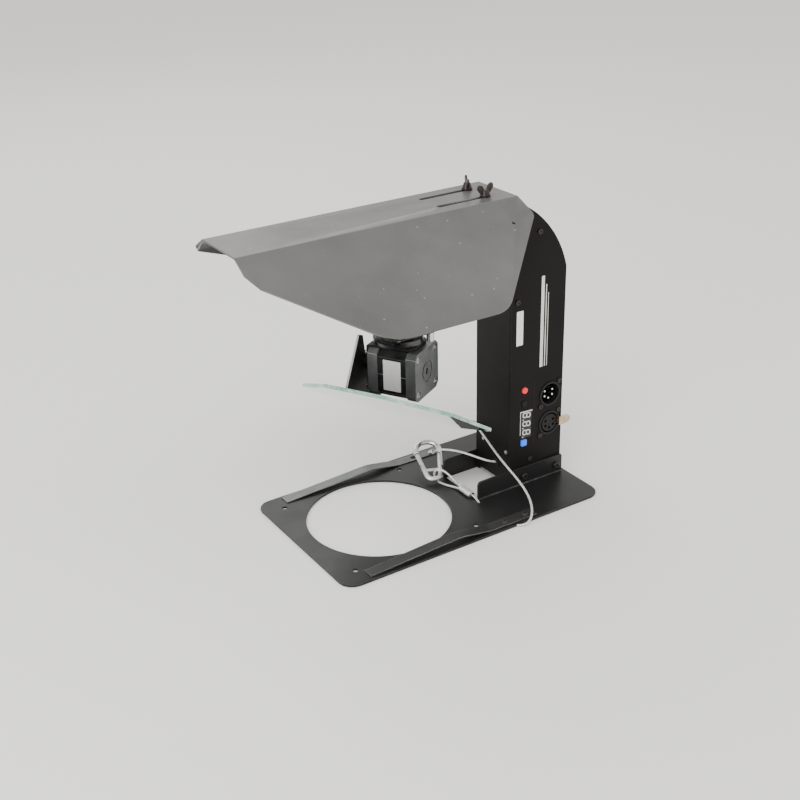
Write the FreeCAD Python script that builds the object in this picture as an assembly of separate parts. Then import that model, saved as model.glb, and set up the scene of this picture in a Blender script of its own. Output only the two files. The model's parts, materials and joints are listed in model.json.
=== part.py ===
import FreeCAD, Part
import math
import os

# Motorised moving-mirror attachment for a stage spotlight.
#
# A flat plate slides into the lamp's colour-frame slot.  A sheet-metal column stands on
# the plate and carries an arm.  Under the arm a stepper motor turns a yoke (pan), and a
# second stepper in the yoke turns a mirror (tilt).  A folded hood lies on the arm.
#
# Frame: millimetres, +Z up.  The origin is the centre of the light aperture on the
# underside of the plate.  +X points from the aperture to the column.

V = FreeCAD.Vector
UP = V(0, 0, 1)

# ---------------------------------------------------------------- driving dimensions
FRAME_SIZE = 158.75              # 6.25 inch colour frame, width of the plate
PLATE_HALF = FRAME_SIZE / 2
PLATE_T = 2.0
PLATE_BACK = 184.0
PLATE_CORNER_R = 13.0
APERTURE_R = 63.0
FRAME_HOLE_R = 2.3
FRAME_HOLE_AT = 60.0

COLUMN_FRONT = 122.0
COLUMN_BACK = 180.0
COLUMN_HALF = 25.0
COLUMN_FOOT = 1.0
COLUMN_LIP = 4.5                 # height of the front wall's lower edge
SHEET = 1.5
ARM_FRONT = -10.0
ARM_UNDER = 222.0
ARM_TOP = 269.5
CROWN_X, CROWN_Z, CROWN_R = 84.5, 175.8, 98.5     # rear top corner, one large arc

FLANGE_T = 2.0
FLANGE_FRONT = 86.6
FLANGE_BACK = 181.0
FLANGE_TOP = 19.0

PAN_X = 30.0
YOKE_TURN = 120.0                # direction of the tilt shaft about +Z, degrees
TILT_Z = 135.8
TILT_REST = 32.4                 # slope of the mirror at rest, degrees

MOTOR = 42.3
MOTOR_CORNER = 4.0
MOTOR_HOLES = 15.5
MOTOR_BOSS_R = 11.0
MOTOR_BOSS_H = 2.0
SHAFT_R = 2.5
SHAFT_FLAT = 0.5                 # depth of the flat that the collar's screw presses on
RUNNING_GAP = 0.04
TILT_MOTOR_L = 44.0
TILT_REAR = -20.7
PAN_MOTOR_L = 40.0
CRADLE_TOP = 172.0
CRADLE_T = 2.0

MIRROR_HALF_U = 68.2
MIRROR_HALF_B = 88.0
MIRROR_CLIP = 43.0
MIRROR_T = 3.0
MIRROR_SHIFT = -5.3             # middle of the glass from the tilt axis, up the slope
MIRROR_BACK = -32.5              # back of the glass below the tilt axis, square to it

HOOD_T = 1.4
HOOD_TOP = 271.2
HOOD_HALF = 26.6
HOOD_SLOPE = 32.2
SLOT_Y = 12.5
SLOT_R = 2.3
WING_X = 102.6
WING_R = 2.0

CABLE_D = 2.0


# ---------------------------------------------------------------- helpers
def box(x0, x1, y0, y1, z0, z1):
    return Part.makeBox(x1 - x0, y1 - y0, z1 - z0, V(x0, y0, z0))


def cyl(radius, base, direction, length):
    return Part.makeCylinder(radius, length, V(*base), V(*direction))


def ring(outer, inner, base, direction, length):
    return cyl(outer, base, direction, length).cut(cyl(inner, base, direction, length))


def fuse(shapes):
    whole = shapes[0].fuse(list(shapes[1:])) if len(shapes) > 1 else shapes[0]
    return whole.removeSplitter()


def cut(shape, tools):
    return shape.cut(list(tools)) if tools else shape


def rounded_wire(corners, put):
    """Closed outline through (a, b, radius) corners; put(a, b) gives the 3-D point."""
    edges = []
    tips = [V(a, b, 0) for a, b, _ in corners]
    count = len(corners)
    starts, ends, middles = [], [], []
    for i, tip in enumerate(tips):
        back = (tips[i - 1] - tip).normalize()
        ahead = (tips[(i + 1) % count] - tip).normalize()
        radius = corners[i][2]
        if radius == 0:
            starts.append(tip)
            ends.append(tip)
            middles.append(None)
            continue
        half = back.getAngle(ahead) / 2
        bisector = (back + ahead).normalize()
        centre = tip + bisector * (radius / math.sin(half))
        starts.append(tip + back * (radius / math.tan(half)))
        ends.append(tip + ahead * (radius / math.tan(half)))
        middles.append(centre - bisector * radius)
    for i in range(count):
        if middles[i] is not None:
            points = [put(p.x, p.y) for p in (starts[i], middles[i], ends[i])]
            edges.append(Part.Arc(*points).toShape())
        here, there = ends[i], starts[(i + 1) % count]
        if (there - here).Length > 1e-6:
            edges.append(Part.LineSegment(put(here.x, here.y), put(there.x, there.y)).toShape())
    return Part.Wire(Part.__sortEdges__(edges))


def slab(corners, put, thickness):
    """Extrude a rounded outline by the vector thickness."""
    return Part.Face(rounded_wire(corners, put)).extrude(thickness)


def flat(z):
    return lambda a, b: V(a, b, z)


def side(y):
    return lambda a, b: V(a, y, b)


def end(x):
    return lambda a, b: V(x, a, b)


def yoke_place():
    return FreeCAD.Placement(V(PAN_X, 0, 0), FreeCAD.Rotation(UP, YOKE_TURN))


def mirror_place():
    tilt = FreeCAD.Placement(V(0, 0, TILT_Z), FreeCAD.Rotation(V(1, 0, 0), TILT_REST))
    return yoke_place().multiply(tilt)


def placed(shape, placement):
    moved = shape.copy()
    moved.Placement = placement.multiply(moved.Placement)
    return moved


parts = {}


def add(name, *solids):
    parts[name] = solids[0] if len(solids) == 1 else Part.Compound(list(solids))


def cap_screw(base, direction, head_r, head_h, shank_r, shank_l):
    """Head stands out of the surface at base along direction, shank goes the other way."""
    way = V(*direction)
    head = Part.makeCylinder(head_r, head_h, V(*base), way)
    head = head.makeFillet(0.3 * head_h, [head.Edges[0]]) if head_h > 1 else head
    socket = Part.makeCylinder(0.45 * head_r, 0.55 * head_h, V(*base) + way * (0.5 * head_h), way)
    shank = Part.makeCylinder(shank_r, shank_l, V(*base) - way * shank_l, way)
    return head.cut(socket).fuse(shank).removeSplitter()


# ---------------------------------------------------------------- base plate and springs
SPRING_INNER, SPRING_OUTER = 65.5, 76.0
SPRING_T = 1.0
SPRING_FRONT, SPRING_BACK = -54.7, 113.0
SPRING_RISE = 5.0
RIVET_X = (82.0, 104.0)
RIVET_R = 1.6
FLANGE_SCREW = ((137.5, 9.6), (174.0, 9.6))
FLANGE_SCREW_R = 1.6
CABLE_SLOT = (85.1, -27.2, -32.4)  # x, and the two ends in y, where the cable dives
CABLE_SLOT_HALF = 1.4
ANCHOR_FAR = (156.0, 47.0)
ANCHOR_HOLE_R = 3.0


def base_plate():
    r = PLATE_CORNER_R
    plate = slab([(-PLATE_HALF, -PLATE_HALF, r), (PLATE_BACK, -PLATE_HALF, r),
                  (PLATE_BACK, PLATE_HALF, r), (-PLATE_HALF, PLATE_HALF, r)],
                 flat(0), UP * PLATE_T)
    outer = COLUMN_HALF + FLANGE_T
    for way in (-1, 1):
        outline = [(FLANGE_FRONT, 0, 0), (FLANGE_BACK, 0, 0), (FLANGE_BACK, FLANGE_TOP, 2),
                   (FLANGE_FRONT, FLANGE_TOP, 3.5)]
        flange = slab(outline, side(way * outer), V(0, -way * FLANGE_T, 0))
        plate = plate.fuse(flange)
    plate = plate.removeSplitter()
    window = box(FLANGE_FRONT, FLANGE_BACK, -COLUMN_HALF, COLUMN_HALF, -1, PLATE_T + 1)
    plate = plate.cut(window)
    bends = []
    for edge in plate.Edges:
        middle = edge.BoundBox.Center
        along_x = edge.BoundBox.XLength > 80 and edge.BoundBox.YLength < 0.01
        foot = abs(abs(middle.y) - COLUMN_HALF) < 0.01 and abs(middle.z) < 0.01
        if along_x and foot:
            bends.append(edge)
    plate = plate.makeFillet(1.6, bends)
    holes = [cyl(APERTURE_R, (0, 0, -1), (0, 0, 1), 4)]
    for x in (-FRAME_HOLE_AT, FRAME_HOLE_AT):
        for y in (-FRAME_HOLE_AT, FRAME_HOLE_AT):
            holes.append(cyl(FRAME_HOLE_R, (x, y, -1), (0, 0, 1), 4))
    for x in RIVET_X:
        for way in (-1, 1):
            y = way * (SPRING_INNER + SPRING_OUTER) / 2
            holes.append(cyl(RIVET_R, (x, y, -1), (0, 0, 1), 4))
    for x, z in FLANGE_SCREW:
        holes.append(cyl(FLANGE_SCREW_R, (x, -40, z), (0, 1, 0), 80))
    holes.append(cyl(ANCHOR_HOLE_R, (ANCHOR_FAR[0], ANCHOR_FAR[1], -1), (0, 0, 1), 4))
    x, y0, y1 = CABLE_SLOT
    holes.append(box(x - CABLE_SLOT_HALF, x + CABLE_SLOT_HALF, y1, y0, -1, 4))
    return cut(plate, holes)


def leaf_spring(way):
    """Bowed steel strip that presses the plate against the slot."""
    z0 = PLATE_T
    crest = z0 + SPRING_RISE
    low = [(SPRING_FRONT, z0, 0), (34, crest, 60), (64, z0, 18), (SPRING_BACK, z0, 0)]
    high = [(a, b + SPRING_T, r) for a, b, r in reversed(low)]
    y0 = way * SPRING_INNER
    strip = slab(low + high, side(y0), V(0, way * (SPRING_OUTER - SPRING_INNER), 0))
    holes = []
    for x in RIVET_X:
        y = way * (SPRING_INNER + SPRING_OUTER) / 2
        holes.append(cyl(RIVET_R, (x, y, 0), (0, 0, 1), 8))
    return cut(strip, holes)


def spring_rivet(x, y):
    top = PLATE_T + SPRING_T
    shank = cyl(RIVET_R, (x, y, 0), (0, 0, 1), top)
    dome = Part.makeSphere(3.4, V(x, y, top - 2.0)).common(cyl(3.0, (x, y, top), (0, 0, 1), 3))
    return shank.fuse(dome).removeSplitter()


add("base_plate", base_plate())
add("leaf_spring_near", leaf_spring(-1))
add("leaf_spring_far", leaf_spring(1))
add("spring_rivets", *[spring_rivet(x, way * (SPRING_INNER + SPRING_OUTER) / 2)
                       for x in RIVET_X for way in (-1, 1)])


# ---------------------------------------------------------------- column and arm housing
BUTTON_X, BUTTON_RED_Z, BUTTON_BLACK_Z, BUTTON_BLUE_Z = 137.4, 94.0, 81.0, 42.7
BUTTON_R = 2.9
BUTTON_SQUARE = 2.9              # half width of the square button
DISPLAY = (134.6, 146.6, 46.5, 74.0)
XLR_X, XLR_MALE_Z, XLR_FEMALE_Z = 166.0, 83.2, 54.6
XLR_HOLE_R = 11.8
XLR_SCREW = ((10.3, 10.2), (-10.3, -10.2))
XLR_SCREW_R = 1.4
COVER_SCREW = ((144.8, 24.5), (150.0, 236.0), (14.0, 236.0), (128.0, 178.0))
COVER_SCREW_R = 1.4
FRONT_SCREW = ((-20.5, 35.8), (13.2, 35.8))
CABLE_HOLE = (-6.0, 19.5)
CABLE_BUSH_R = 3.0
CRADLE_LEG = 24.5                # outer faces of the cradle's legs, from the pan axis
CRADLE_FOOT = 13.0
CRADLE_HALF, CRADLE_DEPTH = 9.5, 21.5     # half widths of its legs and of its plate
CRADLE_SCREW_Y = (-5.0, 5.0)
CRADLE_SCREW_AT = (PAN_X - CRADLE_LEG - 7, PAN_X + CRADLE_LEG + 7)


def housing_outline(inset, y):
    """Side view of column and arm, shrunk by inset; the foot stays open."""
    r = CROWN_R - inset
    top = ARM_TOP - inset
    back = COLUMN_BACK - inset
    crown_start = CROWN_X + math.sqrt(r ** 2 - (top - CROWN_Z) ** 2)
    crown_end = CROWN_Z + math.sqrt(r ** 2 - (back - CROWN_X) ** 2)
    lean = math.radians(45)
    crest = (CROWN_X + r * math.cos(lean), CROWN_Z + r * math.sin(lean))
    foot = COLUMN_FOOT if inset == 0 else COLUMN_FOOT - 5
    points = [(COLUMN_FRONT + inset, foot), (COLUMN_FRONT + inset, ARM_UNDER + inset),
              (ARM_FRONT + inset, ARM_UNDER + inset), (ARM_FRONT + inset, top),
              (crown_start, top)]
    put = side(y)
    edges = [Part.LineSegment(put(*a), put(*b)).toShape() for a, b in zip(points, points[1:])]
    edges.append(Part.Arc(put(crown_start, top), put(*crest), put(back, crown_end)).toShape())
    tail = [(back, crown_end), (back, foot), points[0]]
    edges += [Part.LineSegment(put(*a), put(*b)).toShape() for a, b in zip(tail, tail[1:])]
    return Part.Face(Part.Wire(edges))


def housing_channel():
    inner_y = COLUMN_HALF - SHEET
    shell = housing_outline(0, -inner_y).extrude(V(0, inner_y + COLUMN_HALF, 0))
    hollow = housing_outline(SHEET, -inner_y - 1).extrude(V(0, 2 * inner_y + 1, 0))
    shell = shell.cut(hollow)
    tools = [box(COLUMN_FRONT - 1, COLUMN_FRONT + 3, -30, 20, -1, COLUMN_LIP)]
    tools.append(cyl(CABLE_BUSH_R, (COLUMN_FRONT - 1, CABLE_HOLE[0], CABLE_HOLE[1]), (1, 0, 0), 4))
    for x, z in FLANGE_SCREW:
        tools.append(cyl(FLANGE_SCREW_R, (x, 20, z), (0, 1, 0), 10))
    for y, z in FRONT_SCREW:
        tools.append(cyl(1.3, (COLUMN_FRONT - 1, y, z), (1, 0, 0), 4))
    for way in (-1, 1):
        tools.append(cyl(WING_R + RUNNING_GAP, (WING_X, way * SLOT_Y, ARM_TOP - 4), (0, 0, 1), 6))
    for x in CRADLE_SCREW_AT:
        for y in CRADLE_SCREW_Y:
            tools.append(cyl(1.6, (x, y, ARM_UNDER - 1), (0, 0, 1), 5))
    return cut(shell, tools)


def side_cover():
    y = -COLUMN_HALF
    cover = housing_outline(0, y).extrude(V(0, SHEET, 0))
    half = BUTTON_SQUARE + 0.3
    blue = box(BUTTON_X - half, BUTTON_X + half, y - 1, y + 3, BUTTON_BLUE_Z - half, BUTTON_BLUE_Z + half)
    tools = [cyl(BUTTON_R + 0.3, (BUTTON_X, y - 1, BUTTON_RED_Z), (0, 1, 0), 5),
             cyl(BUTTON_R + 0.3, (BUTTON_X, y - 1, BUTTON_BLACK_Z), (0, 1, 0), 5),
             blue,
             box(DISPLAY[0], DISPLAY[1], y - 1, y + 3, DISPLAY[2], DISPLAY[3])]
    for z in (XLR_MALE_Z, XLR_FEMALE_Z):
        tools.append(cyl(XLR_HOLE_R, (XLR_X, y - 1, z), (0, 1, 0), 5))
        for dx, dz in XLR_SCREW:
            tools.append(cyl(XLR_SCREW_R, (XLR_X + dx, y - 1, z + dz), (0, 1, 0), 5))
    for x, z in COVER_SCREW:
        tools.append(cyl(COVER_SCREW_R, (x, y - 1, z), (0, 1, 0), 5))
    for x, z in FLANGE_SCREW:
        tools.append(cyl(FLANGE_SCREW_R, (x, y - 1, z), (0, 1, 0), 5))
    return cut(cover, tools)


add("housing_channel", housing_channel())
add("side_cover", side_cover())


def cover_screws():
    y = -COLUMN_HALF
    return [cap_screw((x, y, z), (0, -1, 0), 2.4, 1.2, COVER_SCREW_R, 4) for x, z in COVER_SCREW]


def flange_screws():
    outer = COLUMN_HALF + FLANGE_T
    return [cap_screw((x, way * outer, z), (0, way, 0), 3.2, 2.2, FLANGE_SCREW_R, 6)
            for x, z in FLANGE_SCREW for way in (-1, 1)]


def front_screws():
    return [cap_screw((COLUMN_FRONT, y, z), (-1, 0, 0), 1.8, 1.0, 1.3, 4) for y, z in FRONT_SCREW]


def cable_bush():
    """Flanged sleeve that grips the lead where it leaves the column."""
    bore = CABLE_D / 2
    sleeve = ring(CABLE_BUSH_R, bore, (COLUMN_FRONT, *CABLE_HOLE), (1, 0, 0), 3)
    rim = ring(CABLE_BUSH_R + 1.2, bore, (COLUMN_FRONT - 1, *CABLE_HOLE), (1, 0, 0), 1)
    return fuse([sleeve, rim])


add("cover_screws", *cover_screws())
add("front_screws", *front_screws())
add("flange_screws", *flange_screws())
add("cable_bush", cable_bush())


# ---------------------------------------------------------------- controls and connectors
BOARD_Y = -14.0                  # face of the control board towards the side cover
BOARD_T = 1.6
DRIVER_Y = 12.0
STANDOFFS = ((130.0, 30.0), (130.0, 104.0), (148.0, 30.0), (148.0, 104.0))
STANDOFF_R = 2.4
BUTTON_TRAVEL = 0.8
BUTTON_PROUD = 1.4
XLR_PINS = 5
XLR_PIN_CIRCLE = 5.0
XLR_PIN_R = 1.1
XLR_DEPTH = 20.0
XLR_BARREL_R, XLR_CUP_R, XLR_INSERT_R = 11.6, 9.6, 8.3
XLR_CUP_DEPTH = 14.0
LATCH_GAP = 0.35


def control_board():
    board = box(126.5, 152.0, BOARD_Y, BOARD_Y + BOARD_T, 27.0, 107.0)
    switches = []
    for z in (BUTTON_RED_Z, BUTTON_BLACK_Z, BUTTON_BLUE_Z):
        switches.append(box(BUTTON_X - 3, BUTTON_X + 3, BOARD_Y - 3.5, BOARD_Y, z - 3, z + 3))
    chips = [box(130, 144, BOARD_Y + BOARD_T, BOARD_Y + BOARD_T + 3, 50, 64),
             box(131, 141, BOARD_Y + BOARD_T, BOARD_Y + BOARD_T + 2, 76, 84)]
    return fuse([board] + switches + chips)


def driver_board():
    board = box(125.5, 174.0, DRIVER_Y, DRIVER_Y + BOARD_T, 112.0, 196.0)
    sinks = []
    for z in (130.0, 168.0):
        sinks.append(box(132, 152, 4.0, DRIVER_Y, z - 8, z + 8))
        for step in range(4):
            x = 132 + 5.4 * step
            sinks.append(box(x, x + 2, -2.0, 4.0, z - 8, z + 8))
    return fuse([board] + sinks)


def display_module():
    x0, x1, z0, z1 = DISPLAY
    gap = 0.2
    return box(x0 + gap, x1 - gap, -COLUMN_HALF + 0.3, BOARD_Y, z0 + gap, z1 - gap)


def standoff(x, z, y0, y1):
    return ring(STANDOFF_R, 1.2, (x, y0, z), (0, 1, 0), y1 - y0)


def round_button(z, proud):
    """Cap with a collar behind the cover so that it cannot fall out."""
    y = -COLUMN_HALF
    cap = cyl(BUTTON_R, (BUTTON_X, y - proud, z), (0, 1, 0), proud + SHEET + 1)
    cap = cap.makeFillet(0.5, [e for e in cap.Edges if abs(e.BoundBox.YMin - (y - proud)) < 1e-6
                               and abs(e.BoundBox.YMax - (y - proud)) < 1e-6])
    back = BOARD_Y - 3.5 - BUTTON_TRAVEL - 0.3
    collar = cyl(BUTTON_R + 0.9, (BUTTON_X, y + SHEET + 0.3, z), (0, 1, 0), 1.2)
    stem = cyl(1.6, (BUTTON_X, y + SHEET + 1, z), (0, 1, 0), back - (y + SHEET + 1))
    return fuse([cap, collar, stem])


def square_button(z):
    y = -COLUMN_HALF
    h = BUTTON_SQUARE
    corners = [(BUTTON_X - h, z - h, 0.8), (BUTTON_X + h, z - h, 0.8),
               (BUTTON_X + h, z + h, 0.8), (BUTTON_X - h, z + h, 0.8)]
    cap = slab(corners, side(y - BUTTON_PROUD), V(0, BUTTON_PROUD + SHEET + 1, 0))
    back = BOARD_Y - 3.5 - BUTTON_TRAVEL - 0.3
    collar = box(BUTTON_X - h - 0.9, BUTTON_X + h + 0.9, y + SHEET + 0.3, y + SHEET + 1.5,
                 z - h - 0.9, z + h + 0.9)
    stem = cyl(1.6, (BUTTON_X, y + SHEET + 1, z), (0, 1, 0), back - (y + SHEET + 1))
    return fuse([cap, collar, stem])


add("control_board", control_board())
add("driver_board", driver_board())
add("display_module", display_module())
wall = COLUMN_HALF - SHEET
posts = [standoff(x, z, BOARD_Y + BOARD_T, wall) for x, z in STANDOFFS]
posts += [standoff(x, z, DRIVER_Y + BOARD_T, wall) for x in (129.0, 170.0) for z in (116.0, 192.0)]
add("board_standoffs", *posts)
add("red_button", round_button(BUTTON_RED_Z, BUTTON_PROUD))
add("black_button", round_button(BUTTON_BLACK_Z, 0.9))
add("blue_button", square_button(BUTTON_BLUE_Z))


def xlr_pin_places(z):
    """Five contacts on an arc, with a gap where the key is."""
    places = []
    for i in range(XLR_PINS):
        angle = math.radians(150 + i * 60)
        places.append((XLR_X + XLR_PIN_CIRCLE * math.cos(angle), z + XLR_PIN_CIRCLE * math.sin(angle)))
    return places


def xlr_flange(z):
    y = -COLUMN_HALF + SHEET
    corners = [(XLR_X - 12.9, z - 13.6, 2), (XLR_X + 12.4, z - 13.6, 2),
               (XLR_X + 12.4, z + 13.6, 2), (XLR_X - 12.9, z + 13.6, 2)]
    flange = slab(corners, side(y), V(0, 1.8, 0))
    holes = [cyl(XLR_SCREW_R, (XLR_X + dx, y - 1, z + dz), (0, 1, 0), 5) for dx, dz in XLR_SCREW]
    return cut(flange, holes)


def xlr_male():
    y = -COLUMN_HALF
    z = XLR_MALE_Z
    flange = xlr_flange(z)
    barrel = cyl(XLR_BARREL_R, (XLR_X, y - 0.8, z), (0, 1, 0), XLR_DEPTH)
    cup = cyl(XLR_CUP_R, (XLR_X, y - 2, z), (0, 1, 0), XLR_CUP_DEPTH)
    shell = flange.fuse(barrel).cut(cup)
    pins = [cyl(XLR_PIN_R, (x, y + 10, pz), (0, 1, 0), XLR_DEPTH) for x, pz in xlr_pin_places(z)]
    return cut(shell, pins).removeSplitter()


def xlr_male_pins():
    y = -COLUMN_HALF
    pins = []
    for x, z in xlr_pin_places(XLR_MALE_Z):
        pin = cyl(XLR_PIN_R, (x, y + 1.6, z), (0, 1, 0), XLR_DEPTH + 1)
        pins.append(pin.makeFillet(0.5, [pin.Edges[2]]))
    return pins


def xlr_female():
    y = -COLUMN_HALF
    z = XLR_FEMALE_Z
    flange = xlr_flange(z)
    barrel = cyl(XLR_BARREL_R, (XLR_X, y - 0.8, z), (0, 1, 0), XLR_DEPTH)
    cup = cyl(XLR_CUP_R, (XLR_X, y - 2, z), (0, 1, 0), XLR_CUP_DEPTH)
    latch_gap = box(XLR_X + 8.6, XLR_X + 16, y - 2, y + 9, z - 4.4, z + 4.4)
    return cut(flange.fuse(barrel), [cup, latch_gap]).removeSplitter()


def xlr_insert():
    """Insulating block with five sockets, seated on the floor of the female shell."""
    y = -COLUMN_HALF
    z = XLR_FEMALE_Z
    block = cyl(XLR_INSERT_R, (XLR_X, y - 0.6, z), (0, 1, 0), XLR_CUP_DEPTH - 1.4)
    contacts = [cyl(1.3, (x, y - 2, pz), (0, 1, 0), 12) for x, pz in xlr_pin_places(z)]
    return cut(block, contacts)


def xlr_latch():
    """Push tab: a finger inside the shell and a rounded thumb plate outside it."""
    y = -COLUMN_HALF
    z = XLR_FEMALE_Z
    half = 4.4 - LATCH_GAP
    finger = box(XLR_X + 9.0, XLR_X + 10.8, y - 2.6, y + 6, z - half, z + half)
    plate = slab([(XLR_X + 9.0, z - half, 0), (187.2, z - half, 3.6), (187.2, z + half, 3.6),
                  (XLR_X + 9.0, z + half, 0)], side(y - 3.8), V(0, 1.6, 0))
    rib = box(XLR_X + 14.6, XLR_X + 15.6, y - 4.4, y - 3.7, z - 2.6, z + 2.6)
    return fuse([finger, plate, rib])


def connector_screws():
    y = -COLUMN_HALF
    screws = []
    for z in (XLR_MALE_Z, XLR_FEMALE_Z):
        for dx, dz in XLR_SCREW:
            screws.append(cap_screw((XLR_X + dx, y, z + dz), (0, -1, 0), 2.3, 1.1, XLR_SCREW_R, 6))
    return screws


add("xlr_male_shell", xlr_male())
add("xlr_male_pins", *xlr_male_pins())
add("xlr_female_shell", xlr_female())
add("xlr_female_insert", xlr_insert())
add("xlr_latch", xlr_latch())
add("connector_screws", *connector_screws())
add("blank_label", box(126.6, 135.2, -COLUMN_HALF - 0.2, -COLUMN_HALF, 136.0, 171.5))


# ---------------------------------------------------------------- stepper motors
# Each motor is built lying along +X, with its rear face at x = 0, then placed.
CAP_L = 9.0
BEARING_R = 8.0
BEARING_L = 5.0
ROTOR_R = 12.6
STATOR_BORE = 13.2
SCREW_SINK = 1.6


def motor_square(x, size, chamfer, length):
    h = size / 2
    corners = []
    for sy, sz in ((1, 1), (-1, 1), (-1, -1), (1, -1)):
        pair = [(sy * h, sz * (h - chamfer)), (sy * (h - chamfer), sz * h)]
        if sy * sz < 0:
            pair.reverse()
        corners += [(a, b, 0.8) for a, b in pair]
    return slab(corners, end(x), V(length, 0, 0))


def screw_places():
    return [(a * MOTOR_HOLES, b * MOTOR_HOLES) for a in (-1, 1) for b in (-1, 1)]


def motor_caps(length):
    rear = motor_square(0, MOTOR, MOTOR_CORNER, CAP_L)
    front = motor_square(length - CAP_L, MOTOR, MOTOR_CORNER, CAP_L)
    front = front.fuse(cyl(MOTOR_BOSS_R, (length, 0, 0), (1, 0, 0), MOTOR_BOSS_H))
    rear = rear.cut(ring(9.4, 7.0, (-1, 0, 0), (1, 0, 0), 1.8))
    through = cyl(SHAFT_R + 0.4, (-2, 0, 0), (1, 0, 0), length + 6)
    rear = cut(rear, [through, cyl(BEARING_R, (2.5, 0, 0), (1, 0, 0), BEARING_L),
                      cyl(14.5, (2.5 + BEARING_L, 0, 0), (1, 0, 0), 3)])
    start = length - 2.5 - BEARING_L
    front = cut(front, [through, cyl(BEARING_R, (start, 0, 0), (1, 0, 0), BEARING_L),
                        cyl(14.5, (start - 3, 0, 0), (1, 0, 0), 3)])
    holes = []
    for a, b in screw_places():
        holes.append(cyl(1.5, (-1, a, b), (1, 0, 0), length + 4))
        holes.append(cyl(3.1, (-1, a, b), (1, 0, 0), 1 + SCREW_SINK))
    return [cut(rear, holes).removeSplitter(), cut(front, holes[0::2]).removeSplitter()]


def motor_stator(length):
    block = motor_square(CAP_L, MOTOR - 0.7, MOTOR_CORNER + 1.4, length - 2 * CAP_L)
    tools = [cyl(STATOR_BORE, (0, 0, 0), (1, 0, 0), length)]
    tools += [cyl(1.5, (0, a, b), (1, 0, 0), length) for a, b in screw_places()]
    return cut(block, tools)


def motor_bearings(length):
    bore = SHAFT_R + RUNNING_GAP
    places = (2.5, length - 2.5 - BEARING_L)
    return [ring(BEARING_R, bore, (x, 0, 0), (1, 0, 0), BEARING_L) for x in places]


def motor_rotor(length, shaft_end):
    shaft = cyl(SHAFT_R, (1.5, 0, 0), (1, 0, 0), shaft_end - 1.5)
    flat_cut = box(length + 3, shaft_end + 1, -4, 4, SHAFT_R - SHAFT_FLAT, SHAFT_R + 1)
    body = cyl(ROTOR_R, (CAP_L + 1, 0, 0), (1, 0, 0), length - 2 * CAP_L - 2)
    return shaft.cut(flat_cut).fuse(body).removeSplitter()


def motor_screws(length):
    """Long screws from the rear cap through to the front cap."""
    return [cap_screw((SCREW_SINK, a, b), (-1, 0, 0), 2.75, 1.4, 1.5, length - 12)
            for a, b in screw_places()]


# ---------------------------------------------------------------- pan drive under the arm
PAN_FRONT_Z = CRADLE_TOP
HUB_LOW = 159.4
HUB_DISC_R = 16.0
HUB_DISC_TOP = 164.4
HUB_TOP = 167.2
STOP_AT = (MOTOR_HOLES, -MOTOR_HOLES)
STOP_R = 3.15
STOP_LOW = 161.0
SECTOR_R = 25.6
SECTOR_HALF = 56.0
SECTOR_MIDDLE = 165.0            # world direction of the hub's stop sector at rest, degrees
SECTOR_LOW, SECTOR_TOP = 161.8, 164.4
HUB_SCREWS = ((9.5, 0.0), (-9.5, 0.0))    # in the yoke's own frame


def yoke_point(u, s):
    place = yoke_place().multVec(V(u, s, 0))
    return place.x, place.y


def pan_place():
    """The motor stands on its front face, so its +X turns down to -Z."""
    turn = FreeCAD.Rotation(V(0, 1, 0), 90)
    return FreeCAD.Placement(V(PAN_X, 0, PAN_FRONT_Z + PAN_MOTOR_L), turn)


def pan_cradle():
    """U-shaped sheet: a plate under the motor, two legs and two feet on the arm."""
    low = CRADLE_TOP - CRADLE_T
    r = CRADLE_DEPTH - CRADLE_HALF
    plate = slab([(PAN_X - CRADLE_LEG, -CRADLE_DEPTH, r), (PAN_X + CRADLE_LEG, -CRADLE_DEPTH, r),
                  (PAN_X + CRADLE_LEG, CRADLE_DEPTH, r), (PAN_X - CRADLE_LEG, CRADLE_DEPTH, r)],
                 flat(low), UP * CRADLE_T)
    pieces = [plate]
    for way in (-1, 1):
        x0, x1 = sorted((PAN_X + way * CRADLE_LEG, PAN_X + way * (CRADLE_LEG - CRADLE_T)))
        pieces.append(box(x0, x1, -CRADLE_HALF, CRADLE_HALF, low, ARM_UNDER))
        f1 = PAN_X + way * (CRADLE_LEG + CRADLE_FOOT)
        f0, f1 = sorted((PAN_X + way * (CRADLE_LEG - CRADLE_T), f1))
        pieces.append(box(f0, f1, -CRADLE_HALF, CRADLE_HALF, ARM_UNDER - CRADLE_T, ARM_UNDER))
    tools = [cyl(MOTOR_BOSS_R, (PAN_X, 0, low - 1), (0, 0, 1), 6)]
    for a, b in screw_places():
        tools.append(cyl(1.5, (PAN_X + a, b, low - 1), (0, 0, 1), 6))
    for x in CRADLE_SCREW_AT:
        for y in CRADLE_SCREW_Y:
            tools.append(cyl(1.6, (x, y, ARM_UNDER - 5), (0, 0, 1), 8))
    return cut(fuse(pieces), tools)


def cradle_screws():
    low = CRADLE_TOP - CRADLE_T
    screws = []
    for a, b in screw_places():
        if (a, b) != STOP_AT:
            screws.append(cap_screw((PAN_X + a, b, low), (0, 0, -1), 2.75, 1.8, 1.5, 5))
    for x in CRADLE_SCREW_AT:
        for y in CRADLE_SCREW_Y:
            screws.append(cap_screw((x, y, ARM_UNDER - CRADLE_T), (0, 0, -1), 3, 2, 1.6, 6))
    return screws


def pan_stop_post():
    x, y = PAN_X + STOP_AT[0], STOP_AT[1]
    low = CRADLE_TOP - CRADLE_T
    post = cyl(STOP_R, (x, y, STOP_LOW), (0, 0, 1), low - STOP_LOW)
    post = post.makeFillet(0.6, [e for e in post.Edges if abs(e.BoundBox.ZMax - STOP_LOW) < 1e-6])
    return post.fuse(cyl(1.5, (x, y, low), (0, 0, 1), 5)).removeSplitter()


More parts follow.
